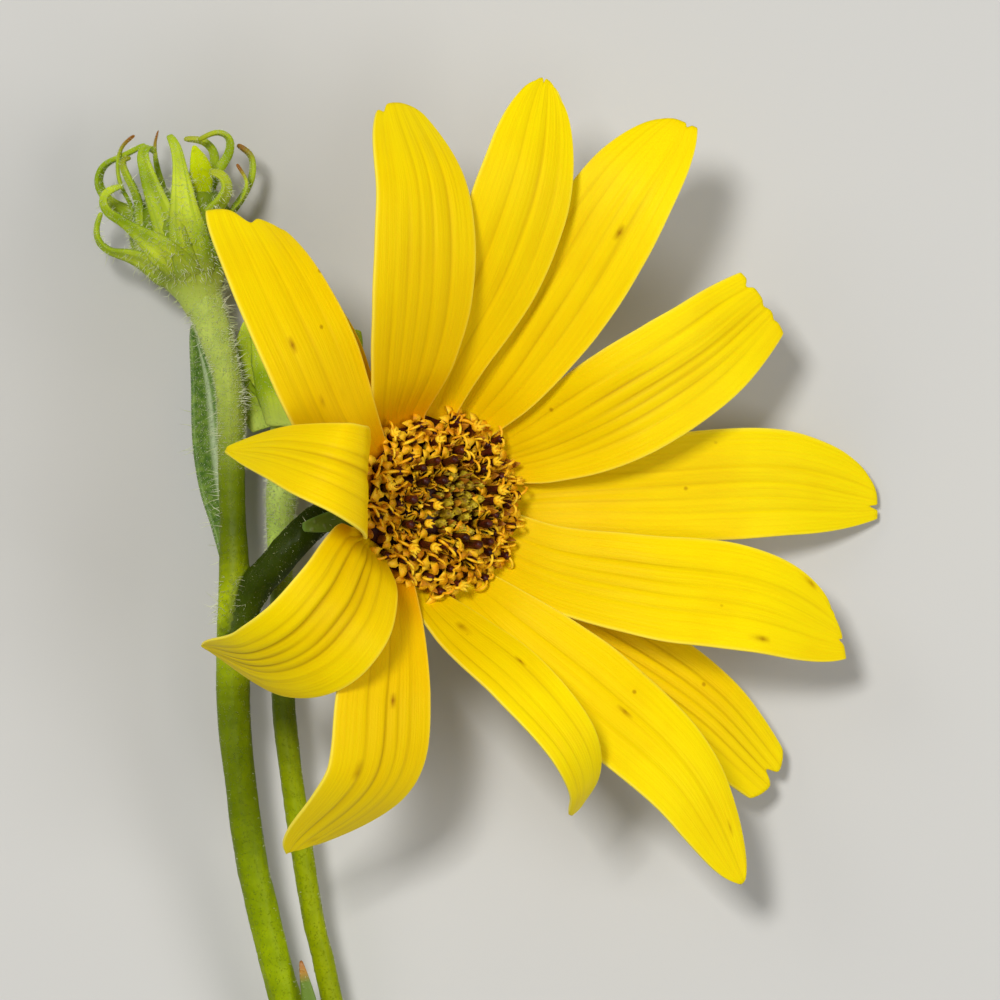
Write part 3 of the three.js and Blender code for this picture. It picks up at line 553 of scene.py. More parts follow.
def petal_material():
    material, tree, principled = new_material("petal tissue", 0.5)
    where = add_node(tree, "TexCoord")
    split = add_node(tree, "SeparateXYZ", {"Vector": where.outputs["UV"]})
    marks = add_node(tree, "Attribute", attribute_name="marks")
    shares = add_node(tree, "SeparateColor", {"Color": marks.outputs["Color"]})
    fibres = add_group(tree, FIBRES, {"Streaks": 34.0, "Stretch": 3.0})
    past_root = remapped(tree, marks.outputs["Alpha"], 1.0, 0.0, 0.0, 0.45)
    place = add_node(tree, "Math", {0: split.outputs["Y"], 1: past_root}, operation="ADD")
    gradient = add_ramp(tree, place.outputs[0], PETAL_YELLOWS)
    streak = remapped(tree, fibres.outputs["Streak"], 0.47, 0.72, 0.0, 0.24)
    veined = mixed(tree, streak, gradient, VEIN_OCHRE)
    blotch = remapped(tree, fibres.outputs["Blotch"], 0.45, 0.8, 0.0, 0.4)
    mottled = mixed(tree, blotch, veined, BLOTCH_AMBER)
    # Painted highlight along the thin edge, from the marks' blue share.
    edge_highlighted = mixed(tree, product(tree, shares.outputs["Blue"], 0.6), mottled, MARGIN_HIGHLIGHT)
    # Painted shade along the grooves, from the marks' red share.
    shaded = mixed(tree, product(tree, shares.outputs["Red"], 0.72), edge_highlighted, PAINTED_GROOVE_SHADE)
    specks = add_node(tree, "TexVoronoi", {"Vector": where.outputs["Object"], "Scale": 420.0})
    speck = remapped(tree, specks.outputs["Distance"], 0.03, 0.07, 0.55, 0.0)
    rare = remapped(tree, fibres.outputs["Blotch"], 0.56, 0.6)
    both = {0: shares.outputs["Green"], 1: product(tree, speck, rare)}
    blemished = add_node(tree, "Math", both, operation="MAXIMUM").outputs[0]
    tree.links.new(mixed(tree, blemished, shaded, BLEMISH_BROWN), principled.inputs["Base Color"])
    grain = add_node(tree, "TexNoise", {"Vector": where.outputs["Object"], "Scale": 9000.0, "Detail": 2.0})
    raised = {0: grain.outputs["Fac"], 1: 0.25, 2: fibres.outputs["Streak"]}
    height = add_node(tree, "Math", raised, operation="MULTIPLY_ADD").outputs[0]
    add_bump(tree, principled, height, 0.32, 0.00012)
    make_fleshy(principled, 0.2, (1.0, 0.7, 0.05), 0.0004, 0.06)
    return material


PETAL_TISSUE = petal_material()

for number, petal in enumerate(PETALS, 1):
    node = f"ray_petal_{number:02d}"
    piece = shaped_sheet(
        node + "_tissue",
        PETAL_ROWS,
        PETAL_COLUMNS,
        petal_surface(petal, number),
        PETAL_THICKNESS,
        marks_of=petal_marks(petal, number),
    )
    fit(piece, PETAL_TISSUE, node)


# Involucre
# The green cup under the head is one fleshy receptacle with two rings of narrow hairy bracts
# grown on its rim; they stand out behind the petals.
RECEPTACLE_DEPTH = 3.2
RECEPTACLE_RADIUS = 4.3
PHYLLARY_COUNT = 14
PHYLLARY_LENGTH = 3.9
SHOWN_PHYLLARY = 7
HEAD_FRAME = Matrix((HEAD_RIGHT, HEAD_UP, HEAD_AXIS)).transposed().to_4x4()
HEAD_FRAME.translation = in_frame(HEAD_CENTRE)
CUP_PROFILE = [
    (0.02, -RECEPTACLE_DEPTH),
    (1.05, -RECEPTACLE_DEPTH),
    (1.9, -2.7),
    (3.3, -2.1),
    (4.1, -1.4),
    (RECEPTACLE_RADIUS, -0.8),
    (RECEPTACLE_RADIUS - 0.1, -0.45),
    (4, -0.4),
    (0.02, -0.4),
]


def turned_solid(name, profile, sides, place):
    """A ring drawn out and widened along a profile of (radius, height) in millimetres, ends closed."""
    bpy.ops.object.select_all(action="DESELECT")
    radius, height = profile[0]
    bpy.ops.mesh.primitive_circle_add(
        vertices=sides, radius=radius * MM, location=(0, 0, 0), fill_type="NGON"
    )
    piece = bpy.context.object
    piece.name = name
    bpy.ops.object.mode_set(mode="EDIT")
    bpy.ops.mesh.select_all(action="SELECT")
    bpy.ops.transform.translate(value=(0, 0, height * MM))
    for next_radius, next_height in profile[1:]:
        rise = {"value": (0, 0, (next_height - height) * MM)}
        bpy.ops.mesh.extrude_region_move(TRANSFORM_OT_translate=rise)
        factor = next_radius / radius
        bpy.ops.transform.resize(value=(factor, factor, 1))
        radius, height = next_radius, next_height
    bpy.ops.mesh.select_all(action="SELECT")
    bpy.ops.mesh.normals_make_consistent(inside=False)
    bpy.ops.object.mode_set(mode="OBJECT")
    piece.data.transform(place)
    bpy.ops.object.shade_smooth()
    return piece


def strap(name, places, face, blade, marks_of=None):
    """A narrow green bract or leaf: a thick grooved blade along a spine."""
    spine = Spine(places, face)
    arch = blade.get("arch", 0.1)
    groove = blade.get("groove", 0.1)

    def place(across, along):
        half = half_width(along, blade)
        side, up = spine.axes(along)
        height = -arch * across**2 * half - groove * half * bell(across, 0.35)
        share = along - 0.25 * along**6 * across**2 * half / spine.length
        return spine.point(share) + side * across * half + up * height

    rows, columns = blade.get("rows", 14), blade.get("columns", 6)
    return shaped_sheet(name, rows, columns, place, blade["thickness"], marks_of=marks_of)


def select_only(pieces):
    """Selects these pieces alone and makes the first the active one."""
    bpy.ops.object.select_all(action="DESELECT")
    for piece in pieces:
        piece.select_set(True)
    bpy.context.view_layer.objects.active = pieces[0]


def joined(name, pieces):
    """One object of several, which keep their materials."""
    select_only(pieces)
    bpy.ops.object.join()
    pieces[0].name = name
    return pieces[0]


PHYLLARY_FORM = {"width": 1.3, "widest": 0.3, "claw": 0.8, "tip": 0.4, "taper": 0.8, "thickness": 0.3}


def head_phyllary(index):
    """One bract: every other one is inner, stands further out and is longer."""
    inner = index % 2 == 0 or index == SHOWN_PHYLLARY
    turn = 360 * (index + 0.4) / PHYLLARY_COUNT
    radius = 4.0 if inner else 3.3
    height = -1.7 if inner else -2.3
    length = PHYLLARY_LENGTH * (1 if inner else 0.85)
    lift = 0.1 if inner else -0.5
    places = [
        head_point(turn, radius - 0.5, height),
        head_point(turn, radius + length * 0.5, height + lift * 0.4),
        head_point(turn, radius + length, height + lift - 0.3),
    ]
    return strap(f"phyllary_{index}", places, HEAD_AXIS, PHYLLARY_FORM)


def skin_speckle():
    """Pale raised dots and soft patches on green skin, read in the object's own space."""
    defaults = {"Dots": 3000.0, "Patches": 300.0}
    group, given, made = new_group("skin speckle", defaults, ["Dot", "Patch"])
    where = add_node(group, "TexCoord").outputs["Object"]
    cells = add_node(group, "TexVoronoi", {"Vector": where, "Scale": given["Dots"]})
    dot = remapped(group, cells.outputs["Distance"], 0.12, 0.42, 1.0, 0.0)
    coarse = product(group, given["Dots"], 0.45)
    gaps = add_node(group, "TexNoise", {"Vector": where, "Scale": coarse, "Detail": 1.0})
    kept = remapped(group, gaps.outputs["Fac"], 0.46, 0.6)
    patch = add_node(group, "TexNoise", {"Vector": where, "Scale": given["Patches"], "Detail": 3.0})
    group.links.new(product(group, dot, kept), made["Dot"])
    group.links.new(patch.outputs["Fac"], made["Patch"])
    return group


SPECKLE = skin_speckle()


def green_material(name, dark, light, dots, dot_share, roughness=0.55, streaked=False):
    """Hairy green skin: two greens in soft patches under pale dots."""
    material, tree, principled = new_material(name, roughness)
    speckle = add_group(tree, SPECKLE, {"Dots": dots, "Patches": 320.0})
    skin = mixed(tree, remapped(tree, speckle.outputs["Patch"], 0.35, 0.65), dark, light)
    if streaked:
        fibres = add_group(tree, FIBRES, {"Streaks": 14.0, "Stretch": 1.2})
        streak = remapped(tree, fibres.outputs["Streak"], 0.48, 0.66, 0.0, 0.5)
        skin = mixed(tree, streak, skin, dark)
    pale = tuple(0.45 * channel + 0.4 for channel in light)
    dotted = mixed(tree, product(tree, speckle.outputs["Dot"], dot_share), skin, pale)
    tree.links.new(dotted, principled.inputs["Base Color"])
    add_bump(tree, principled, speckle.outputs["Dot"], 0.5, 0.0001)
    make_fleshy(principled, 0.15, (0.6, 1.0, 0.2), 0.0004, 0.12)
    return material


HAIR_RADIUS = 0.009 * MM
HAIR_GAIN = 0.02 * MM
HAIR_STRAY = 0.45
HAIR_BEND = 0.45
HAIR_MARGIN = 0.05 * MM


def add_hair(coat, root, out, length, chance):
    """One bent hair that tapers to a point, if its tip stays inside the sprig's box."""
    stray = Vector([chance.uniform(-1, 1) for axis in range(3)])
    heading = (out + HAIR_STRAY * stray).normalized()
    bend = HAIR_BEND * stray.cross(heading)
    tip = root + (heading + bend) * length * MM
    limits = zip(cad_box[0], tip, cad_box[1])
    if not all(low + HAIR_MARGIN <= place <= high - HAIR_MARGIN for low, place, high in limits):
        return
    aside = heading.orthogonal().normalized()
    rings = []
    for share, radius in ((-0.08, 1), (0.5, 0.7)):
        centre = root + (heading * share + bend * share**2) * length * MM
        turns = [Matrix.Rotation(2 * math.pi * corner / 3, 3, heading) for corner in range(3)]
        thick = radius * (HAIR_RADIUS + HAIR_GAIN * length)
        rings.append([coat.verts.new(centre + turn @ aside * thick) for turn in turns])
    point = coat.verts.new(tip)
    low, high = rings
    coat.faces.new(low[::-1])
    for corner in range(3):
        after = (corner + 1) % 3
        coat.faces.new((low[corner], low[after], high[after], high[corner]))
        coat.faces.new((high[corner], high[after], point))


def new_object(name, data):
    """An object in the scene for a mesh, a curve, a lamp or a camera."""
    made = bpy.data.objects.new(name, data)
    bpy.context.scene.collection.objects.link(made)
    return made


def mesh_piece(name, shape):
    """A piece with the mesh that was put together in a bmesh."""
    mesh = bpy.data.meshes.new(name)
    shape.to_mesh(mesh)
    shape.free()
    return new_object(name, mesh)


def add_hairs(name, carrier, patches, seed):
    """White hairs at random places on a piece's skin, as one mesh. Each patch says where they
    grow, how many there are, and their shortest and longest millimetres."""
    chance = random.Random(seed)
    coat = bmesh.new()
    for grows, count, short, long in patches:
        faces = [face for face in carrier.data.polygons if grows(to_sprig(face.center), face.normal)]
        for face in chance.choices(faces, weights=[face.area for face in faces], k=count):
            shares = [chance.random() for corner in face.vertices]
            corners = [carrier.data.vertices[index].co for index in face.vertices]
            weighted = [share * corner for share, corner in zip(shares, corners)]
            root = sum(weighted, Vector()) / sum(shares)
            add_hair(coat, root, face.normal.copy(), chance.uniform(short, long), chance)
    fit(mesh_piece(name, coat), HAIR_WHITE)


def everywhere(place, out):
    return True


def hair_material():
    material, tree, principled = new_material("white hair", 0.35)
    speckle = add_group(tree, SPECKLE, {"Dots": 3000.0, "Patches": 900.0})
    tones = [(0.35, (0.5, 0.56, 0.28)), (0.65, (0.84, 0.87, 0.66))]
    tree.links.new(add_ramp(tree, speckle.outputs["Patch"], tones), principled.inputs["Base Color"])
    return material


HAIR_WHITE = hair_material()
BRACT_GREEN = green_material("bract green", (0.07, 0.14, 0.02), (0.16, 0.27, 0.04), 2600.0, 0.25)

cup = turned_solid("cup", CUP_PROFILE, 40, HEAD_FRAME)
phyllaries = [head_phyllary(index) for index in range(PHYLLARY_COUNT)]
involucre = joined("green_involucre", [cup, *phyllaries])
fit(involucre, BRACT_GREEN, "involucre")
add_hairs("involucre_hairs", involucre, [(everywhere, 500, 0.15, 0.4)], 2)


# Disc florets
# Small tubular flowers packed on a dome, each with five golden lobes round a maroon tube of
# joined anthers, and brown chaff beside it. They grow on the receptacle. Some inner ones still
# wear a crown of pollen; the outer ones have put out a forked, curled style.
DISC_RADIUS = 4.75
DISC_CORE_RADIUS = 4.5
DISC_CORE_HEIGHT = 1.5
CENTRE_RADIUS = 1.65
GOLDEN_ANGLE = math.pi * (3 - math.sqrt(5))
FLORET_COUNT = 74
INNER_FLORETS = 26
FLORET_LEAN = 0.3
LOBES = 5


def dome_height(radius):
    share = min(1, radius / DISC_CORE_RADIUS)
    return DISC_CORE_HEIGHT * (1 - share**2)


def floret_frame(index, count, inside, outside, lift, chance):
    """Where a floret stands on the dome, spaced by the golden angle and leaning outwards."""
    share = (index + 0.5) / count
    radius = math.sqrt(inside**2 + (outside**2 - inside**2) * share)
    angle = index * GOLDEN_ANGLE + chance.uniform(-0.12, 0.12)
    outward = FLORET_LEAN * radius / DISC_RADIUS + chance.uniform(-0.16, 0.16)
    place = Vector((radius * math.cos(angle), radius * math.sin(angle), dome_height(radius) + lift)) * MM
    aside = angle + math.pi / 2 + chance.uniform(-0.5, 0.5)
    lean = Matrix.Rotation(outward, 4, Vector((math.cos(aside), math.sin(aside), 0)))
    spin = Matrix.Rotation(chance.uniform(0, 2 * math.pi), 4, "Z")
    size = Matrix.Scale(chance.uniform(0.85, 1.12), 4)
    return HEAD_FRAME @ Matrix.Translation(place) @ lean @ spin @ size


def planted(name, models, frames):
    """One piece of many copies: each frame gets a copy of the next model, and the models go."""
    together = bmesh.new()
    for index, place in enumerate(frames):
        copy = models[index % len(models)].data.copy()
        copy.transform(place)
        together.from_mesh(copy)
        bpy.data.meshes.remove(copy)
    piece = mesh_piece(name, together)
    for model in models:
        bpy.data.objects.remove(model)
    select_only([piece])
    bpy.ops.object.shade_smooth()
    return piece


def corolla(name, reach, lift, drop):
    """A tube that opens into five pointed lobes: reach spreads them, lift raises them and drop
    bends their tips down."""
    spokes = 4 * LOBES
    lobe_turn = 2 * math.pi / LOBES
    throat_radius = 0.35
    throat_height = 0.9
    bpy.ops.object.select_all(action="DESELECT")
    bpy.ops.mesh.primitive_circle_add(vertices=spokes, radius=0.2 * MM)
    piece = bpy.context.object
    piece.name = name
    bpy.ops.object.mode_set(mode="EDIT")
    for rise, factor in ((0.5, 1.25), (throat_height - 0.5, 1.4), (0, 1), (0, 1), (0, 1)):
        bpy.ops.mesh.extrude_region_move(TRANSFORM_OT_translate={"value": (0, 0, rise * MM)})
        bpy.ops.transform.resize(value=(factor, factor, 1))
    bpy.ops.object.mode_set(mode="OBJECT")
    for vertex in piece.data.vertices[3 * spokes :]:
        angle = math.atan2(vertex.co.y, vertex.co.x)
        lobe = round(angle / lobe_turn) * lobe_turn
        side = round((angle - lobe) * spokes / (2 * math.pi))
        if abs(side) == 2:
            continue
        share = (vertex.index // spokes - 2) / 3
        wide = 0.25 * side * math.sin(math.pi * (0.25 + 0.75 * share))
        out = throat_radius + reach * share
        height = throat_height + lift * share - drop * share**2 + 0.05 * abs(side)
        tangent = Vector((-math.sin(lobe), math.cos(lobe), 0))
        middle = Vector((math.cos(lobe) * out, math.sin(lobe) * out, height))
        vertex.co = middle * MM + tangent * wide * MM
    bpy.ops.object.mode_set(mode="EDIT")
    bpy.ops.mesh.select_all(action="SELECT")
    bpy.ops.mesh.remove_doubles(threshold=0.06 * MM)
    bpy.ops.mesh.normals_make_consistent(inside=False)
    bpy.ops.object.mode_set(mode="OBJECT")
    solidify = piece.modifiers.new("thickness", "SOLIDIFY")
    solidify.thickness = 0.07 * MM
    bpy.ops.object.modifier_apply(modifier="thickness")
    return piece


def squeeze(vertex, factor):
    """Moves a point towards the upright axis, or away from it."""
    vertex.co.x *= factor
    vertex.co.y *= factor


def anther_tube(height):
    """The dark column of five joined anthers, grooved between them and wider at its top."""
    profile = [(0.18, 0.4), (0.2, 0.9), (0.25, height - 0.3), (0.24, height - 0.1), (0.12, height)]
    piece = turned_solid("anthers", profile, 2 * LOBES, Matrix.Identity(4))
    for vertex in piece.data.vertices:
        squeeze(vertex, 0.82 if vertex.index % 2 else 1.05)
    return piece


def pollen_crown(height):
    """Five bright yellow points round the mouth of the anther column."""
    profile = [
        (0.16, height - 0.1),
        (0.29, height),
        (0.32, height + 0.16),
        (0.12, height + 0.14),
        (0.03, height + 0.1),
    ]
    piece = turned_solid("crown", profile, 2 * LOBES, Matrix.Identity(4))
    for vertex in piece.data.vertices:
        if vertex.index // (2 * LOBES) != 2:
            continue
        pointed = vertex.index % 2 == 0
        vertex.co.z += (0.3 if pointed else -0.08) * MM
        squeeze(vertex, 0.88 if pointed else 0.72)
    return piece


def tube_along(name, places, radii, roundness):
    """A curve given round thickness and made a mesh; radii is a list of (share, millimetres)."""
    curve = bpy.data.curves.new(name, "CURVE")
    curve.dimensions = "3D"
    curve.bevel_depth = MM
    curve.bevel_resolution = roundness
    curve.use_fill_caps = True
    spline = curve.splines.new("POLY")
    spline.points.add(len(places) - 1)
    for index, (point, place) in enumerate(zip(spline.points, places)):
        point.co = (*place, 1)
        point.radius = value_along(radii, index / (len(places) - 1))
    select_only([new_object(name, curve)])
    bpy.ops.object.convert(target="MESH")
    return bpy.context.object


STYLE_STEPS = 8
STYLE_STEP = 0.15
STYLE_RADII = [(0, 0.07), (0.6, 0.095), (1, 0.05)]


def style_arm(height, start, curl, turn):
    """One arm of a style: it rises from the column and rolls back on itself."""
    places = []
    heading = math.radians(start)
    x, z = 0.03, height
    for step in range(STYLE_STEPS + 1):
        places.append(Vector((x * math.cos(turn), x * math.sin(turn), z)) * MM)
        x += STYLE_STEP * math.cos(heading)
        z += STYLE_STEP * math.sin(heading)
        heading -= math.radians(curl) / STYLE_STEPS
    return tube_along("arm", places, STYLE_RADII, 0)


def chaff_scale():
    """A narrow pointed scale, folded along its middle, that stands beside a floret."""

    def place(across, along):
        half = 0.26 * (1 - along**2.2) ** 0.6 + 0.01
        return (0.42 + 0.1 * along - 0.35 * half * across**2, across * half, 0.1 + 1.45 * along)

    def on_dome(point):
        return Vector(point) * MM

    return shaped_sheet("chaff", 4, 4, place, 0.05, levels=0, place_in=on_dome)


def tissue_material(name, roughness, patches, tones):
    """Soft plant tissue in three tones that change in small patches, with a fine bump."""
    material, tree, principled = new_material(name, roughness)
    speckle = add_group(tree, SPECKLE, {"Dots": 5200.0, "Patches": patches})
    tree.links.new(add_ramp(tree, speckle.outputs["Patch"], tones), principled.inputs["Base Color"])
    add_bump(tree, principled, speckle.outputs["Dot"], 0.4, 0.00006)
    make_fleshy(principled, 0.15, (1.0, 0.5, 0.05), 0.0002, 0.2)
    return material


GOLD_TONES = [(0.32, (0.68, 0.25, 0.002)), (0.5, (0.9, 0.45, 0.005)), (0.68, (0.98, 0.62, 0.02))]
STYLE_TONES = [(0.35, (0.8, 0.34, 0.003)), (0.5, (0.93, 0.5, 0.008)), (0.7, (0.99, 0.68, 0.03))]
POLLEN_TONES = [(0.35, (0.86, 0.42, 0.005)), (0.5, (0.93, 0.55, 0.01)), (0.7, (0.95, 0.64, 0.03))]
MAROON_TONES = [(0.35, (0.02, 0.002, 0.001)), (0.52, (0.06, 0.008, 0.003)), (0.75, (0.16, 0.03, 0.008))]
BROWN_TONES = [(0.35, (0.2, 0.06, 0.004)), (0.52, (0.45, 0.18, 0.01)), (0.7, (0.7, 0.36, 0.02))]
LOBE_GOLD = tissue_material("lobe gold", 0.5, 1100.0, GOLD_TONES)
STYLE_GOLD = tissue_material("style gold", 0.45, 1400.0, STYLE_TONES)
POLLEN_YELLOW = tissue_material("pollen yellow", 0.6, 1200.0, POLLEN_TONES)
MAROON_AND_GAP_SHADE = tissue_material("anther maroon", 0.4, 1500.0, MAROON_TONES)
CHAFF_BROWN = tissue_material("chaff brown", 0.4, 800.0, BROWN_TONES)

chance = random.Random(11)
floret_frames = [
    floret_frame(index, FLORET_COUNT, CENTRE_RADIUS + 0.05, DISC_RADIUS + 0.05, -0.15, chance)
    for index in range(FLORET_COUNT)
]
young = floret_frames[:INNER_FLORETS]
old = floret_frames[INNER_FLORETS:]

inner_models = [corolla("open_corolla", 0.6, 0.45, 0.42), corolla("young_corolla", 0.34, 0.75, 0.2)]
inner_corollas = planted("inner_corollas", inner_models, young)
outer_models = [corolla("spread_corolla", 0.68, 0.4, 0.5), corolla("bent_corolla", 0.55, 0.5, 0.8)]
outer_corollas = planted("outer_corollas", outer_models, old)
florets = joined("floret_corollas", [inner_corollas, outer_corollas])
fit(florets, LOBE_GOLD, "disc_florets")

DOME_PROFILE = [
    (0.02, -0.35),
    (4.95, -0.35),
    (4.85, -0.15),
    (DISC_CORE_RADIUS, 0.05),
    (4.1, dome_height(4.1)),
    (3.4, dome_height(3.4)),
    (2.4, dome_height(2.4)),
    (1.2, dome_height(1.2)),
    (0.02, dome_height(0)),
]
dome = turned_solid("disc_dome", DOME_PROFILE, 48, HEAD_FRAME)
young_tubes = planted("young_tubes", [anther_tube(2.05), anther_tube(1.8)], young)
old_tubes = planted("old_tubes", [anther_tube(1.25), anther_tube(1.5)], old)
# The dome shares the anthers' near-black maroon. Where it shows in the gaps between the florets, that maroon
# is painted shade.
tubes_on_dome = joined("anther_tubes_on_dome", [dome, young_tubes, old_tubes])
fit(tubes_on_dome, MAROON_AND_GAP_SHADE)

tall_crowns = planted("tall_crowns", [pollen_crown(2.05)], young[0::4])
low_crowns = planted("low_crowns", [pollen_crown(1.5)], old[1::6])
fit(joined("pollen_crowns", [tall_crowns, low_crowns]), POLLEN_YELLOW)

curled_style = joined("curled", [style_arm(1.25, 75, 260, 0.4), style_arm(1.25, 60, 210, 3.3)])
looped_style = joined("looped", [style_arm(1.35, 80, 330, 1.1), style_arm(1.35, 50, 150, 4.4)])
short_style = joined("short", [style_arm(1.8, 70, 190, 0.2), style_arm(1.8, 65, 240, 3.6)])
old_styles = planted("old_styles", [curled_style, looped_style], old)
young_styles = planted("young_styles", [short_style], young[3::4])
fit(joined("forked_styles", [old_styles, young_styles]), STYLE_GOLD)

chance = random.Random(23)
chaff_frames = [
    floret_frame(index + 0.5, FLORET_COUNT, CENTRE_RADIUS, DISC_RADIUS, -0.1, chance)
    for index in range(FLORET_COUNT)
]
fit(planted("chaff_scales", [chaff_scale()], chaff_frames), CHAFF_BROWN)


# Centre buds
# The youngest florets stand closed in the middle of the disc: small olive knobs, each drawn
# to a point by its five shut lobes, with brown tips of chaff between them.
CENTRE_BUD_COUNT = 32
HOLLOW_PLACE = Vector((-1.35, -0.1, 0))
HOLLOW_RADIUS = 0.45


def closed_floret(height):
    """A knob with five folds that draw together over its top."""
    profile = [
        (0.12, -0.2), (0.2, 0.2), (0.26, 0.45), (0.29, 0.62),
        (0.21, height - 0.1), (0.13, height), (0.02, height - 0.06),
    ]
    piece = turned_solid("closed_floret", profile, 2 * LOBES, Matrix.Identity(4))
    for vertex in piece.data.vertices:
        ring = vertex.index // (2 * LOBES)
        between_lobes = vertex.index % 2
        squeeze(vertex, (0.86 - 0.06 * ring) if between_lobes else 1.1)
        if ring == 5 and not between_lobes:
            vertex.co.z += 0.1 * MM
    return piece


def beside_hollow(place):
    """True where the middle of the disc has its small hollow, dark with the dome's painted shade."""
    local = (HEAD_FRAME.inverted() @ place.translation) / MM
    return (local.xy - HOLLOW_PLACE.xy).length < HOLLOW_RADIUS


OLIVE_TONES = [(0.32, (0.14, 0.06, 0.004)), (0.48, (0.36, 0.24, 0.008)), (0.66, (0.6, 0.46, 0.02))]
OLIVE = tissue_material("closed floret olive", 0.5, 2400.0, OLIVE_TONES)

chance = random.Random(5)
centre_frames = [
    floret_frame(index, CENTRE_BUD_COUNT, 0, CENTRE_RADIUS + 0.1, chance.uniform(-0.3, 0.15), chance)
    for index in range(CENTRE_BUD_COUNT)
]
centre_frames = [place for place in centre_frames if not beside_hollow(place)]
centre_buds = planted("closed_florets", [closed_floret(1.0), closed_floret(0.85)], centre_frames)
fit(centre_buds, OLIVE, "disc_centre_buds")

chance = random.Random(9)
centre_chaff_frames = [
    floret_frame(index + 0.5, CENTRE_BUD_COUNT, 0, CENTRE_RADIUS, -0.5, chance)
    for index in range(CENTRE_BUD_COUNT)
]
fit(planted("centre_chaff", [chaff_scale()], centre_chaff_frames), CHAFF_BROWN)


# Stems
# The main stem, the thinner stem that forks from it near the cut and the open head's stalk
# grew as one piece: green, speckled with pale dots, downy with white hairs, and swollen where
# the stalk leaves.
MAIN_STEM = [
    (-8.5, -36.5, 1.05),
    (-8.6, -29.2, 1.5),
    (-9.4, -21.9, 2.3),
    (-11.5, -14.4, 3.4),
    (-12.7, -9.6, 4),
    (-13.2, -7.3, 4.3),
    (-13.8, -2.9, 4.6),
    (-14.2, 1.6, 4.8),
    (-14.1, 7.2, 5),
    (-14.3, 14.5, 4.8),
    (-14.4, 19, 4.6),
    (-14.8, 20.8, 4.5),
    (-15.5, 23, 4.3),
    (-15.95, 24.28, 4.2),
    (-16.25, 25.1, 4.15),
]
MAIN_STEM_RADII = [(0, 1.05), (0.3, 0.92), (0.55, 0.9), (0.68, 1.02), (0.78, 0.76), (0.92, 0.8), (1, 1.2)]
SECOND_STEM = [
    (-9, -25, 2),
    (-8.3, -18.5, 2.6),
    (-8.9, -14.2, 3),
    (-9.7, -10.7, 3.3),
    (-10.9, -2.9, 3.6),
    (-11.4, 1.6, 3.7),
    (-11.5, 7.8, 3.8),
    (-11.5, 12.8, 4),
    (-11.2, 16.2, 4.1),
    (-11.1, 17, 4.1),
]
SECOND_STEM_RADII = [(0, 0.7), (0.3, 0.62), (0.8, 0.68), (0.9, 0.85), (1, 1)]
HEAD_STALK = [
    (-14.1, 5, 5),
    (-13.1, 7.7, 5.4),
    (-12, 9, 6),
    (-10.9, 10.3, 6.3),
    (-9.3, 11.8, 5.8),
    (-7, 12.6, 5),
    (-5.6, 12.7, 5.1),
    head_point(0, 0, -RECEPTACLE_DEPTH - 0.1),
]
HEAD_STALK_RADII = [(0, 0.75), (0.2, 0.95), (0.8, 0.9), (1, 1.05)]

# Along each stalk: share of its length, then the skin's colour and how thickly dots cover it. The darker
# stretches along the main and second stems are painted shade, and the head stalk's near-black green is
# painted shadow.
MAIN_SKIN_AND_SHADE = [
    (0, (0.29, 0.38, 0.0, 0.03)),
    (0.4, (0.285, 0.38, 0.0, 0.03)),
    # Painted shade: a darker stretch of the main stem.
    (0.52, (0.155, 0.215, 0.0, 0.06)),
    (0.62, (0.15, 0.21, 0.001, 0.2)),
    (0.68, (0.48, 0.6, 0.003, 0.5)),
    (0.71, (0.44, 0.54, 0.002, 0.4)),
    # Painted shade again, below the pale neck.
    (0.76, (0.12, 0.17, 0.001, 0.15)),
    (0.82, (0.17, 0.24, 0.004, 0.3)),
    (0.88, (0.4, 0.5, 0.07, 0.8)),
    (0.94, (0.52, 0.64, 0.13, 0.9)),
    (1, (0.5, 0.62, 0.11, 0.8)),
]
SECOND_SKIN_AND_SHADE = [
    (0, (0.26, 0.32, 0.0, 0.02)),
    (0.5, (0.3, 0.365, 0.0, 0.02)),
    # Painted shade: a darker stretch of the second stem.
    (0.62, (0.09, 0.125, 0.001, 0.06)),
    (0.72, (0.2, 0.3, 0.02, 0.35)),
    (0.84, (0.48, 0.65, 0.11, 0.6)),
    (1, (0.56, 0.68, 0.2, 0.7)),
]
# The head stalk's near-black green is painted shadow over its own green.
STALK_SKIN_AND_SHADOW = [
    (0, (0.07, 0.11, 0.002, 0.2)),
    (0.25, (0.034, 0.056, 0.001, 0.12)),
    (1, (0.024, 0.04, 0.001, 0.08)),
]
STALKS = [
    (MAIN_STEM, MAIN_STEM_RADII, MAIN_SKIN_AND_SHADE),
    (SECOND_STEM, SECOND_STEM_RADII, SECOND_SKIN_AND_SHADE),
    (HEAD_STALK, HEAD_STALK_RADII, STALK_SKIN_AND_SHADOW),
]
STEM_VOXEL = 0.13
STEM_SMOOTHING = 5
RIB_HEIGHT = 0.05


def fused_skin(piece):
    """Crossing tubes become one skin, smoothed where they meet."""
    remesh = piece.modifiers.new("one skin", "REMESH")
    remesh.mode = "VOXEL"
    remesh.voxel_size = STEM_VOXEL * MM
    soften = piece.modifiers.new("soften", "SMOOTH")
    soften.factor = 0.5
    soften.iterations = STEM_SMOOTHING
    bpy.context.view_layer.objects.active = piece
    for modifier in ("one skin", "soften"):
        bpy.ops.object.modifier_apply(modifier=modifier)
    bpy.ops.object.shade_smooth()


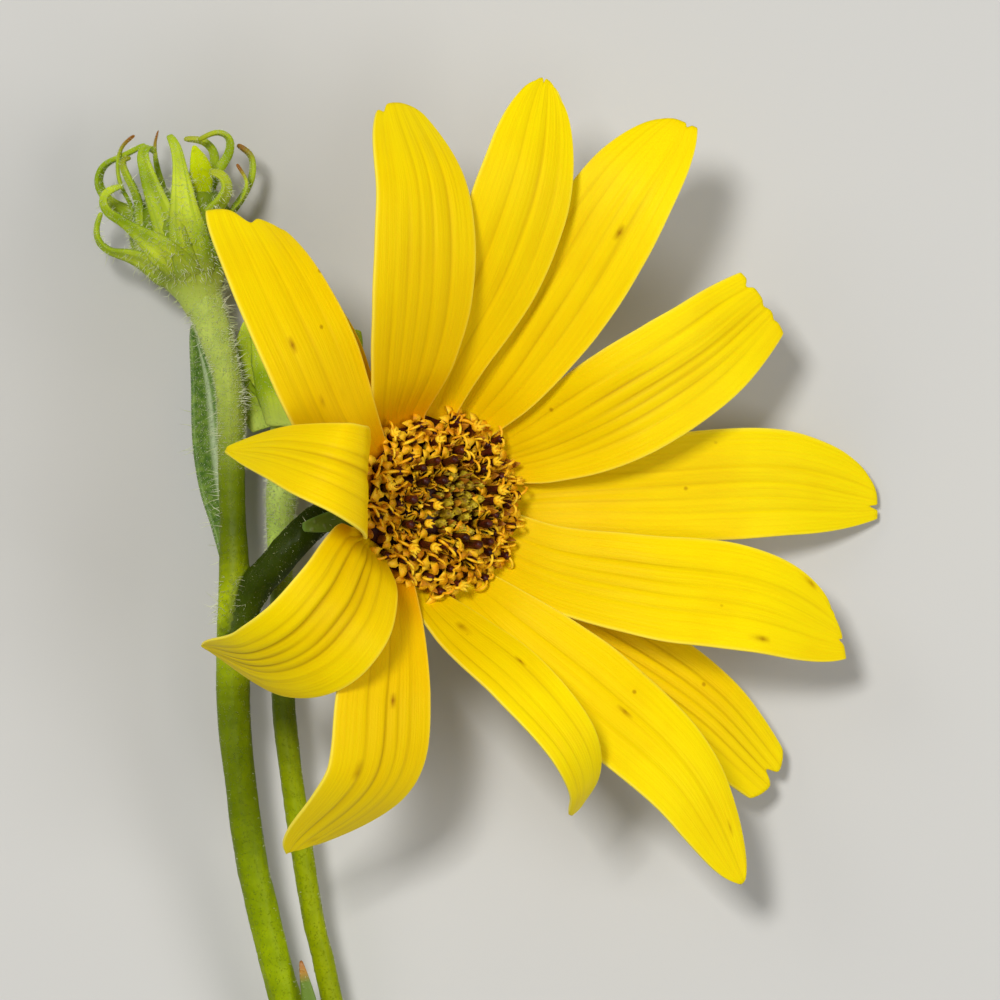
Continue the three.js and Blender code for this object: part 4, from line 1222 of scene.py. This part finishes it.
def ribbed(piece):
    """Raises fine uneven ribs along the skin, as noise drawn out along the sprig."""
    normals = [vertex.normal.copy() for vertex in piece.data.vertices]
    for vertex, normal in zip(piece.data.vertices, normals):
        place = to_sprig(vertex.co)
        ridge = noise.noise(Vector((place.x * 2.6, place.y * 0.16, place.z * 2.6)))
        grain = noise.noise(place * 3.2)
        vertex.co += normal * RIB_HEIGHT * (ridge + 0.4 * grain) * MM


def paint_skin(piece, colours):
    """Writes each point's colour, painted shade included, and dots into an attribute, from the nearest
    places on the stalks.
    """
    tree = KDTree(len(colours))
    for index, (place, _) in enumerate(colours):
        tree.insert(place, index)
    tree.balance()
    layer = piece.data.color_attributes.new("skin", "FLOAT_COLOR", "POINT")
    for vertex in piece.data.vertices:
        total = 0
        blend = Vector((0, 0, 0, 0))
        for _, index, distance in tree.find_n(vertex.co, 4):
            total += 1 / (distance + 1e-5)
            blend += colours[index][1] / (distance + 1e-5)
        layer.data[vertex.index].color = blend / total


def stem_material():
    material, tree, principled = new_material("stem skin", 0.42)
    skin = add_node(tree, "Attribute", attribute_name="skin")
    speckle = add_group(tree, SPECKLE, {"Dots": 9000.0, "Patches": 900.0})
    patch = remapped(tree, speckle.outputs["Patch"], 0.35, 0.7, 0.0, 0.6)
    darker = mixed(tree, 1.0, skin.outputs["Color"], (0.55, 0.6, 0.5), "MULTIPLY")
    shaded = mixed(tree, patch, skin.outputs["Color"], darker)
    dots = product(tree, speckle.outputs["Dot"], skin.outputs["Alpha"])
    tree.links.new(mixed(tree, dots, shaded, (0.72, 0.8, 0.34)), principled.inputs["Base Color"])
    add_bump(tree, principled, speckle.outputs["Dot"], 0.7, 0.0001)
    make_fleshy(principled, 0.15, (0.6, 1.0, 0.2), 0.0005, 0.08)
    return material


tubes = []
skin_and_shade = []
for path, radii, skin in STALKS:
    places = [in_frame(point) for point in Spine(path, (0, 0, 1)).points]
    tubes.append(tube_along("stalk", places, radii, 6))
    colours = [(share, Vector(colour)) for share, colour in skin]
    skin_and_shade += [
        (place, value_along(colours, step / Spine.STEPS)) for step, place in enumerate(places)
    ]
stem = joined("hairy_stems", tubes)
fused_skin(stem)
ribbed(stem)
paint_skin(stem, skin_and_shade)
fit(stem, stem_material(), "stem")


def on_neck(place, out):
    return place.y > 14.5 and place.x < -13


def on_left_of_neck(place, out):
    return place.y > 5 and place.x < -14.2 and out.x < -0.7


def on_right_of_neck(place, out):
    return place.y > 17.5 and place.x > -15.6 and out.x > 0.6 and place.x < -12.5


def on_node(place, out):
    return 6 < place.y < 8.6 and place.x < -13.5


def on_lower_sides(place, out):
    return -36 < place.y < 6 and abs(out.x) > 0.75


def on_second_neck(place, out):
    return 7.5 < place.y < 16.5 and -13 < place.x < -10.2 and place.z < 5.2


def on_stalk(place, out):
    return place.y > 6 and place.x > -13.2 and place.z > 4.6


STEM_HAIRS = [
    (on_neck, 5600, 0.07, 0.2),
    (on_left_of_neck, 50, 0.5, 0.95),
    (on_right_of_neck, 130, 0.35, 0.75),
    (on_node, 160, 0.15, 0.5),
    (on_lower_sides, 1000, 0.05, 0.14),
    (on_second_neck, 2600, 0.1, 0.34),
    (on_stalk, 320, 0.06, 0.16),
]
add_hairs("stem_hairs", stem, STEM_HAIRS, 3)


# Stem leaf
# One upright leaf that grows beside the main stem's node, of thin dark green tissue, folded along
# its pale midrib and rough with stiff hairs.
LEAF_SPINE = [
    (-14.2, 8.6, 3.42),
    (-14.6, 11.6, 2.7),
    (-15, 13.4, 2.5),
    (-15.3, 15.6, 2.5),
    (-15.7, 19.5, 2.6),
    (-16.5, 22.7, 3),
]


def leaf_material():
    material, tree, principled = new_material("leaf green", 0.5)
    where = add_node(tree, "TexCoord")
    split = add_node(tree, "SeparateXYZ", {"Vector": where.outputs["UV"]})
    off = add_node(tree, "Math", {0: split.outputs["X"], 1: 0.5}, operation="SUBTRACT")
    from_rib = add_node(tree, "Math", {0: off.outputs[0]}, operation="ABSOLUTE")
    rib = remapped(tree, from_rib.outputs[0], 0.07, 0.14, 1.0, 0.0)
    speckle = add_group(tree, SPECKLE, {"Dots": 8800.0, "Patches": 2600.0})
    tones = [(0.36, (0.07, 0.16, 0.015)), (0.64, (0.19, 0.31, 0.04))]
    blade = add_ramp(tree, speckle.outputs["Patch"], tones)
    veined = mixed(tree, rib, blade, (0.36, 0.46, 0.24))
    dotted = mixed(tree, speckle.outputs["Dot"], veined, (0.72, 0.84, 0.52))
    tree.links.new(dotted, principled.inputs["Base Color"])
    add_bump(tree, principled, speckle.outputs["Dot"], 0.8, 0.00012)
    return material


LEAF_FORM = {
    "width": 2.3, "widest": 0.5, "claw": 0.4, "tip": 0.03, "taper": 0.75, "thickness": 0.35,
    "arch": -0.25, "groove": 0.18, "rows": 30, "columns": 12,
}
leaf = strap("rough_leaf", LEAF_SPINE, (0, 0, 1), LEAF_FORM)
fit(leaf, leaf_material(), "stem_leaf")


def on_leaf_face(place, out):
    return out.z > 0.2


def on_leaf_margin(place, out):
    return out.x < -0.7 and place.y < 18


LEAF_HAIRS = [
    (on_leaf_face, 1500, 0.04, 0.12),
    (on_leaf_margin, 14, 0.5, 0.9),
]
add_hairs("leaf_hairs", leaf, LEAF_HAIRS, 6)


# Fork bract
# A small pointed bract low between the two stems, of thin green tissue that ends in a
# reddish-brown tip. It grows from the main stem.
BRACT_SPINE = [(-9.6, -20.6, 3.15), (-9.35, -19.5, 3.9), (-9.8, -16, 4.35), (-10.4, -13, 4.7)]


def bract_material():
    material, tree, principled = new_material("fork bract", 0.5)
    where = add_node(tree, "TexCoord")
    split = add_node(tree, "SeparateXYZ", {"Vector": where.outputs["UV"]})
    tones = [
        (0.0, (0.1, 0.2, 0.01)),
        (0.84, (0.12, 0.2, 0.01)),
        (0.92, (0.42, 0.2, 0.02)),
        (1.0, (0.3, 0.1, 0.01)),
    ]
    tone = add_ramp(tree, split.outputs["Y"], tones)
    speckle = add_group(tree, SPECKLE, {"Dots": 4200.0, "Patches": 700.0})
    dots = product(tree, speckle.outputs["Dot"], 0.12)
    tree.links.new(mixed(tree, dots, tone, (0.4, 0.5, 0.2)), principled.inputs["Base Color"])
    add_bump(tree, principled, speckle.outputs["Dot"], 0.5, 0.0001)
    return material


BRACT_FORM = {
    "width": 1.1, "widest": 0.3, "claw": 0.7, "tip": 0.14, "taper": 0.8, "thickness": 0.3, "arch": 0.2,
}
fork_bract = strap("pointed_bract", BRACT_SPINE, (0, 0, 1), BRACT_FORM)
fit(fork_bract, bract_material(), "fork_bract")
add_hairs("bract_hairs", fork_bract, [(everywhere, 60, 0.08, 0.2)], 7)


# Buds
# Two unopened heads: a fleshy body under overlapping bracts whose long narrow ends stand out
# and roll back inwards. They are pale yellow-green and hairy; some ends have dried brown, and
# the lime tip of a first petal shows in the tall one.
BUD_PROFILE = [
    (0.86, -1.1),
    (0.96, -0.75),
    (1.07, -0.35),
    (1.24, 0),
    (1.48, 0.4),
    (1.78, 0.85),
    (2.15, 1.45),
    (2.5, 2.2),
    (2.6, 3.3),
    (2.2, 4.4),
    (1.3, 5),
    (0.1, 5.1),
]
BUD_BACK_LENGTH = 2.6
BRACT_FOOT = -0.45
FOOT_DEPTH = 0.45
FLESHY_TOP = 1.1
COIL_STEPS = 8
DRY_FROM = 0.84
PALE_FOOT = 0.3
NARROW_BRACT = [(0, 1.4), (0.18, 2.1), (0.36, 1.7), (0.5, 0.75), (0.93, 0.46), (1, 0.2)]
FLANK_BRACT = [(0, 1.3), (0.2, 2.2), (0.38, 2.1), (0.52, 1.2), (0.64, 0.62), (0.93, 0.46), (1, 0.2)]
BROAD_BRACT = [(0, 1.6), (0.2, 2.4), (0.4, 2.3), (0.6, 1.45), (0.8, 0.75), (0.95, 0.52), (1, 0.3)]
KEELED_BRACT = [(0, 1.4), (0.2, 2), (0.4, 1.9), (0.55, 1.35), (0.8, 0.75), (0.95, 0.52), (1, 0.3)]
BLUNT_BRACT = [(0, 2), (0.35, 1.9), (0.65, 1.2), (0.9, 0.8), (1, 0.45)]
THIN_BRACT = [(0, 1), (0.3, 0.7), (0.45, 0.45), (0.8, 0.3), (1, 0.04)]
WIDE_BRACT = [(0, 2), (0.3, 3), (0.6, 2.8), (0.88, 1.4), (1, 0.3)]
RAY_TIP = [(0, 0.8), (0.4, 1.1), (0.66, 1.4), (0.85, 0.95), (0.95, 0.45), (1, 0.15)]

# The tall bud's bracts that face up, from the left round to the right: widths, how brown the
# end is, and the places that it runs through.
TALL_BUD_BRACTS = [
    (FLANK_BRACT, 0, [
        (-17, 24.7, 4.9), (-18.05, 25.15, 5.4), (-19.2, 26.05, 5.4), (-20.2, 26.5, 5.1),
        (-21.1, 26.75, 4.7), (-21.75, 27.3, 4.5), (-21.9, 28.1, 4.3), (-21.6, 29, 4.2),
    ]),
    (NARROW_BRACT, 0, [
        (-19.6, 28.6, 2.8), (-21.2, 29.6, 3.5), (-21.8, 30.6, 3.6),
        (-21.5, 31.6, 3.9), (-20.3, 32.2, 4.6), (-19.1, 32.8, 5.2),
    ]),
    (FLANK_BRACT, 0, [
        (-17.25, 25.8, 6.4), (-18.5, 26.9, 6.75), (-19.6, 27.8, 6.1), (-20.5, 28.5, 5.9),
        (-21.25, 29, 5.9), (-21.5, 29.7, 5.9), (-21.1, 30.2, 5.9), (-20.4, 30.4, 5.8),
    ]),
    (THIN_BRACT, 1, [
        (-19.9, 29.2, 4.6), (-20.5, 30.4, 4.7), (-20.7, 31.6, 4.8), (-20.4, 32.7, 5), (-19.7, 33.3, 5.1),
    ]),
    (NARROW_BRACT, 0.3, [
        (-19.5, 29.4, 5.6), (-19.8, 30.3, 5.9), (-20.3, 31.3, 6), (-20.4, 31.9, 6.1), (-19.9, 32, 6.1),
    ]),
    (KEELED_BRACT, 0, [
        (-17.7, 27.7, 7.03), (-18.4, 29.4, 6.9), (-19, 31.1, 6.7),
        (-19.25, 32.3, 6.5), (-18.9, 32.7, 6), (-18.6, 32.3, 5.6),
    ]),
    (THIN_BRACT, 1, [
        (-18.1, 30.2, 2.6), (-18.5, 31.6, 3), (-18.6, 32.8, 3), (-18.4, 33.6, 3),
    ]),
    (BROAD_BRACT, 0, [
        (-16.6, 27.3, 7.06), (-16.9, 29, 7.1), (-17.1, 31, 7), (-17.4, 32.6, 6.9), (-17.8, 33.3, 6.4),
    ]),
    (NARROW_BRACT, 0.2, [
        (-15.6, 29.4, 3.4), (-15, 31.3, 4.2), (-14.4, 32.3, 4.4),
        (-14.4, 33.2, 4.6), (-15.1, 33.5, 4.8), (-16.2, 33, 5),
    ]),
    (NARROW_BRACT, 0.3, [
        (-15.9, 29.9, 2.6), (-15.3, 31.4, 3), (-15.3, 32.4, 3.2), (-15.9, 33, 3.4), (-17, 33.1, 3.6),
    ]),
    (NARROW_BRACT, 0.9, [
        (-14.4, 28.6, 3), (-13.6, 29.9, 3.1), (-13.1, 31.1, 3.2), (-13.2, 32.2, 3.2), (-14, 32.8, 3.2),
    ]),
    (THIN_BRACT, 1, [
        (-14.4, 28.8, 4.6), (-13.7, 29.7, 4.7), (-13.4, 30.6, 4.7), (-14, 31.7, 4.6),
    ]),
    (BROAD_BRACT, 0.2, [
        (-15.35, 28.7, 5.9), (-14.75, 29.6, 6.3), (-14.5, 30.4, 6.6), (-14.85, 31.05, 6.8),
        (-15.5, 31.2, 6.8),
    ]),
]
FIRST_PETAL_TIP = [(-16.1, 28.6, 4.2), (-15.9, 30, 5.4), (-16, 31.4, 6.3), (-16.4, 32.7, 6.5)]

# At its back, by rule: degrees round it from its right, the height they leave at, degrees above
# level where they start, and how far they coil.
TALL_BUD_BACK = [(55, 2.2, 40, 150), (90, 2.4, 30, 128), (125, 2.2, 40, 150)]

# The second bud's broad smooth bracts, which show beside the petal that hides it: widths, the
# way the face looks, and the places.
SECOND_BUD_BRACTS = [
    (WIDE_BRACT, (0, 0, 1), [
        (-12.2, 16.9, 3.2), (-12.7, 18.4, 3.1), (-13, 20.6, 3.1), (-13.5, 22.9, 3.3),
    ]),
    (WIDE_BRACT, (-0.5, 0, 1), [
        (-11.5, 16.9, 5.9), (-11.7, 18.6, 6.4), (-12.1, 20.7, 6.3), (-13, 23.2, 5.6),
    ]),
    (BLUNT_BRACT, (0.3, 0, 1), [
        (-9.4, 17.6, 5.6), (-8.3, 19.6, 6), (-7.4, 21.2, 5.8), (-7.25, 22.4, 5.5),
    ]),
]
SECOND_BUD_COILED = 9
SPIRAL_TURN = 137.5


def bud_frame(base, tip, size):
    along = (Vector(tip) - Vector(base)).normalized()
    turn = Vector((0, 0, 1)).rotation_difference(along).to_matrix().to_4x4()
    return Matrix.Translation(in_frame(base)) @ turn @ Matrix.Scale(size, 4)


def bud_radius(height):
    """How far out a bract lies at a height: on the body, but sunk in its fleshy foot."""
    sunk = FOOT_DEPTH * max(0, 1 - max(0, height) / FLESHY_TOP)
    return value_along([(place, radius) for radius, place in BUD_PROFILE], height) - sunk


def body_places(turn, height, shares):
    """Where a bract lies on a bud's body, from its foot on the neck to the height where it leaves."""
    places = []
    for share in shares:
        place = BRACT_FOOT + (height - BRACT_FOOT) * share
        radius = bud_radius(place) + 0.03
        places.append(Vector((radius * math.cos(turn), radius * math.sin(turn), place)))
    return places


def bract_marks(brown, lime, keel_shade):
    """Shares of dry brown to a bract's end, lime all over it, painted shade along its edges and beside a
    keel, and nought rising to one away from its pale foot."""

    def marks(across, along):
        dry = min(1, max(0, (along - DRY_FROM) / 0.12))
        # Painted shade at the edges and, on a keeled bract, beside the middle.
        crease_shade = max(bell(1 - abs(across), 0.35), keel_shade * bell(across + 0.15, 0.3))
        return brown * dry, lime, crease_shade * max(0, 1 - along / 0.8), min(1, along / PALE_FOOT)

    return marks


def bud_bract(places, outward, widths, brown=0, lime=0):
    """A bract through places in millimetres; the keeled one has a deep fold beside its middle, darkened with
    painted shade.
    """
    keeled = widths is KEELED_BRACT
    form = {
        "widths": widths, "thickness": 0.2 if widths is THIN_BRACT else 0.26,
        "arch": 0.22, "groove": 0.4 if keeled else 0.16, "rows": 26, "columns": 8,
    }
    return strap("bract", places, outward, form, bract_marks(brown, lime, 1 if keeled else 0.3))


def coiled_bract(place, turn, height, start, coil, length):
    """A bract by rule: up the body, off it at a height, then coiling inwards."""
    points = body_places(0, height, (0.15, 0.55, 1))
    for step in range(COIL_STEPS):
        heading = math.radians(start + coil * ((step + 0.5) / COIL_STEPS) ** 1.3)
        onward = Vector((math.cos(heading), 0, math.sin(heading)))
        points.append(points[-1] + onward * length / COIL_STEPS)
    spin = Matrix.Rotation(math.radians(turn), 3, "Z")
    places = [to_sprig(place @ (spin @ point * MM)) for point in points]
    outward = place.to_3x3() @ spin @ Vector((1, 0, 0))
    return bud_bract(places, outward, NARROW_BRACT)


def placed_bract(place, widths, path, brown):
    """A bract through given places, with its foot on the body below the first."""
    first = (place.inverted() @ in_frame(path[0])) / MM
    turn = math.atan2(first.y, first.x)
    below = [to_sprig(place @ (point * MM)) for point in body_places(turn, first.z, (0.15, 0.6))]
    outward = place.to_3x3() @ Vector((math.cos(turn), math.sin(turn), 0))
    return bud_bract([*below, *path], outward, widths, brown)


def bud_body(name, place):
    """The fleshy body, pale at its foot, and darkened with painted shade where it shows between the bracts
    that grow out of it.
    """
    body = turned_solid(name, BUD_PROFILE, 32, place)
    marks = body.data.color_attributes.new("marks", "FLOAT_COLOR", "POINT")
    for vertex in body.data.vertices:
        height = max(0, (place.inverted() @ vertex.co).z / MM)
        # Blue is painted shade where the body shows between the bracts.
        marks.data[vertex.index].color = (0, 0, min(0.8, max(0, height - 0.5)), min(1, height))
    return body


def bud_material():
    """The bud's green with a bract's marks over it, among them painted shade at the bracts' edges and folds.
    """
    dark, light = (0.24, 0.36, 0.002), (0.6, 0.72, 0.04)
    material = green_material("bud green", dark, light, 9500.0, 0.7, roughness=0.5, streaked=True)
    tree = material.node_tree
    colour = tree.nodes["Principled BSDF"].inputs["Base Color"]
    skin = colour.links[0].from_socket
    marks = add_node(tree, "Attribute", attribute_name="marks")
    shares = add_node(tree, "SeparateColor", {"Color": marks.outputs["Color"]})
    # Painted shade at bract edges and folds, from the marks' blue share.
    crease_shaded = mixed(tree, product(tree, shares.outputs["Blue"], 0.85), skin, (0.08, 0.15, 0.001))
    limed = mixed(tree, shares.outputs["Green"], crease_shaded, (0.55, 0.66, 0.0))
    dried = mixed(tree, shares.outputs["Red"], limed, (0.3, 0.11, 0.02))
    tree.links.new(mixed(tree, marks.outputs["Alpha"], (0.48, 0.6, 0.1), dried), colour)
    return material


BUD_GREEN = bud_material()

tall_frame = bud_frame((-16.15, 24.6, 4.13), (-17.8, 30.5, 4.13), 1.15)
tall_pieces = [bud_body("tall_bud", tall_frame)]
for widths, brown, path in TALL_BUD_BRACTS:
    tall_pieces.append(placed_bract(tall_frame, widths, path, brown))
tall_pieces.append(bud_bract(FIRST_PETAL_TIP, (0.3, 0, 1), RAY_TIP, lime=1))
for turn, height, start, coil in TALL_BUD_BACK:
    tall_pieces.append(coiled_bract(tall_frame, turn, height, start, coil, BUD_BACK_LENGTH))
tall_bud = joined("tall_bud_bracts", tall_pieces)

second_frame = bud_frame((-11.1, 16.8, 4.1), (-10.4, 20.5, 4.1), 0.85)
second_pieces = [bud_body("second_bud", second_frame)]
for widths, face, path in SECOND_BUD_BRACTS:
    second_pieces.append(bud_bract(path, face, widths))
chance = random.Random(31)
for index in range(SECOND_BUD_COILED):
    share = index / (SECOND_BUD_COILED - 1)
    coil = 235 - 45 * share + 50 * (chance.random() - 0.5)
    length = (6.6 - 2.2 * share) * (0.92 + 0.16 * chance.random())
    turn = index * SPIRAL_TURN
    height = 1.3 + 3.1 * share
    second_pieces.append(coiled_bract(second_frame, turn, height, 15 + 63 * share, coil, length))
second_bud = joined("second_bud_bracts", second_pieces)

fit(tall_bud, BUD_GREEN, "bud_tall_stem")
fit(second_bud, BUD_GREEN, "bud_second_stem")


def on_bud_base(place, out):
    return place.y < 28


def on_bud_sides(place, out):
    return place.y < 31 and abs(out.x) > 0.5


def on_bud_folds(place, out):
    return 27 < place.y < 31 and place.z > 4


def on_bract_ends(place, out):
    return place.y > 30


BUD_HAIRS = [
    (on_bud_base, 1300, 0.2, 0.6),
    (on_bud_sides, 300, 0.35, 0.8),
    (on_bud_folds, 2400, 0.12, 0.4),
    (on_bract_ends, 3500, 0.05, 0.13),
]
add_hairs("tall_bud_hairs", tall_bud, BUD_HAIRS, 8)


# Floor, light and camera
# A plain pale floor under the sprig, a large soft light high at the upper left, a low weak one at
# the left and a fill from the right. The camera looks straight down from far off.
VIEW_CENTRE = (0.78, 12.82, 8)
VIEW_WIDTH = 56
CAMERA_LENS = 1000
SENSOR_WIDTH = 36

bpy.ops.object.select_all(action="DESELECT")
bpy.ops.mesh.primitive_plane_add(size=3, location=(0, 0, -0.0003))
floor = bpy.context.object
floor.name = "floor"
floor_material, _, floor_surface = new_material("pale floor", 0.8)
floor_surface.inputs["Base Color"].default_value = (0.55, 0.55, 0.54, 1)
dress(floor, floor_material)


def soft_light(name, place, size, power, colour):
    light = bpy.data.lights.new(name, "AREA")
    light.size = size
    light.energy = power
    light.color = colour
    lamp = new_object(name, light)
    lamp.location = place
    lamp.rotation_euler = (in_frame(VIEW_CENTRE) - Vector(place)).to_track_quat("-Z", "Y").to_euler()


soft_light("key", (-0.34, 0.42, 1.55), 0.3, 17.6, (1, 0.98, 0.94))
soft_light("side", (-0.5, 0.35, 0.5), 0.3, 0.6, (1, 0.97, 0.92))
soft_light("fill", (0.5, -0.1, 0.6), 0.4, 2.4, (1, 0.98, 0.95))

world = bpy.data.worlds.new("studio")
world.use_nodes = True
surroundings = world.node_tree.nodes["Background"]
surroundings.inputs["Color"].default_value = (0.96, 0.97, 0.96, 1)
surroundings.inputs["Strength"].default_value = 0.22
bpy.context.scene.world = world

camera_data = bpy.data.cameras.new("camera")
camera_data.lens = CAMERA_LENS
camera_data.sensor_width = SENSOR_WIDTH
camera_data.clip_end = 10
camera = new_object("camera", camera_data)
distance = VIEW_WIDTH * MM * CAMERA_LENS / SENSOR_WIDTH
camera.location = in_frame(VIEW_CENTRE) + Vector((0, 0, distance))
bpy.context.scene.camera = camera
bpy.context.scene.view_settings.view_transform = "Standard"
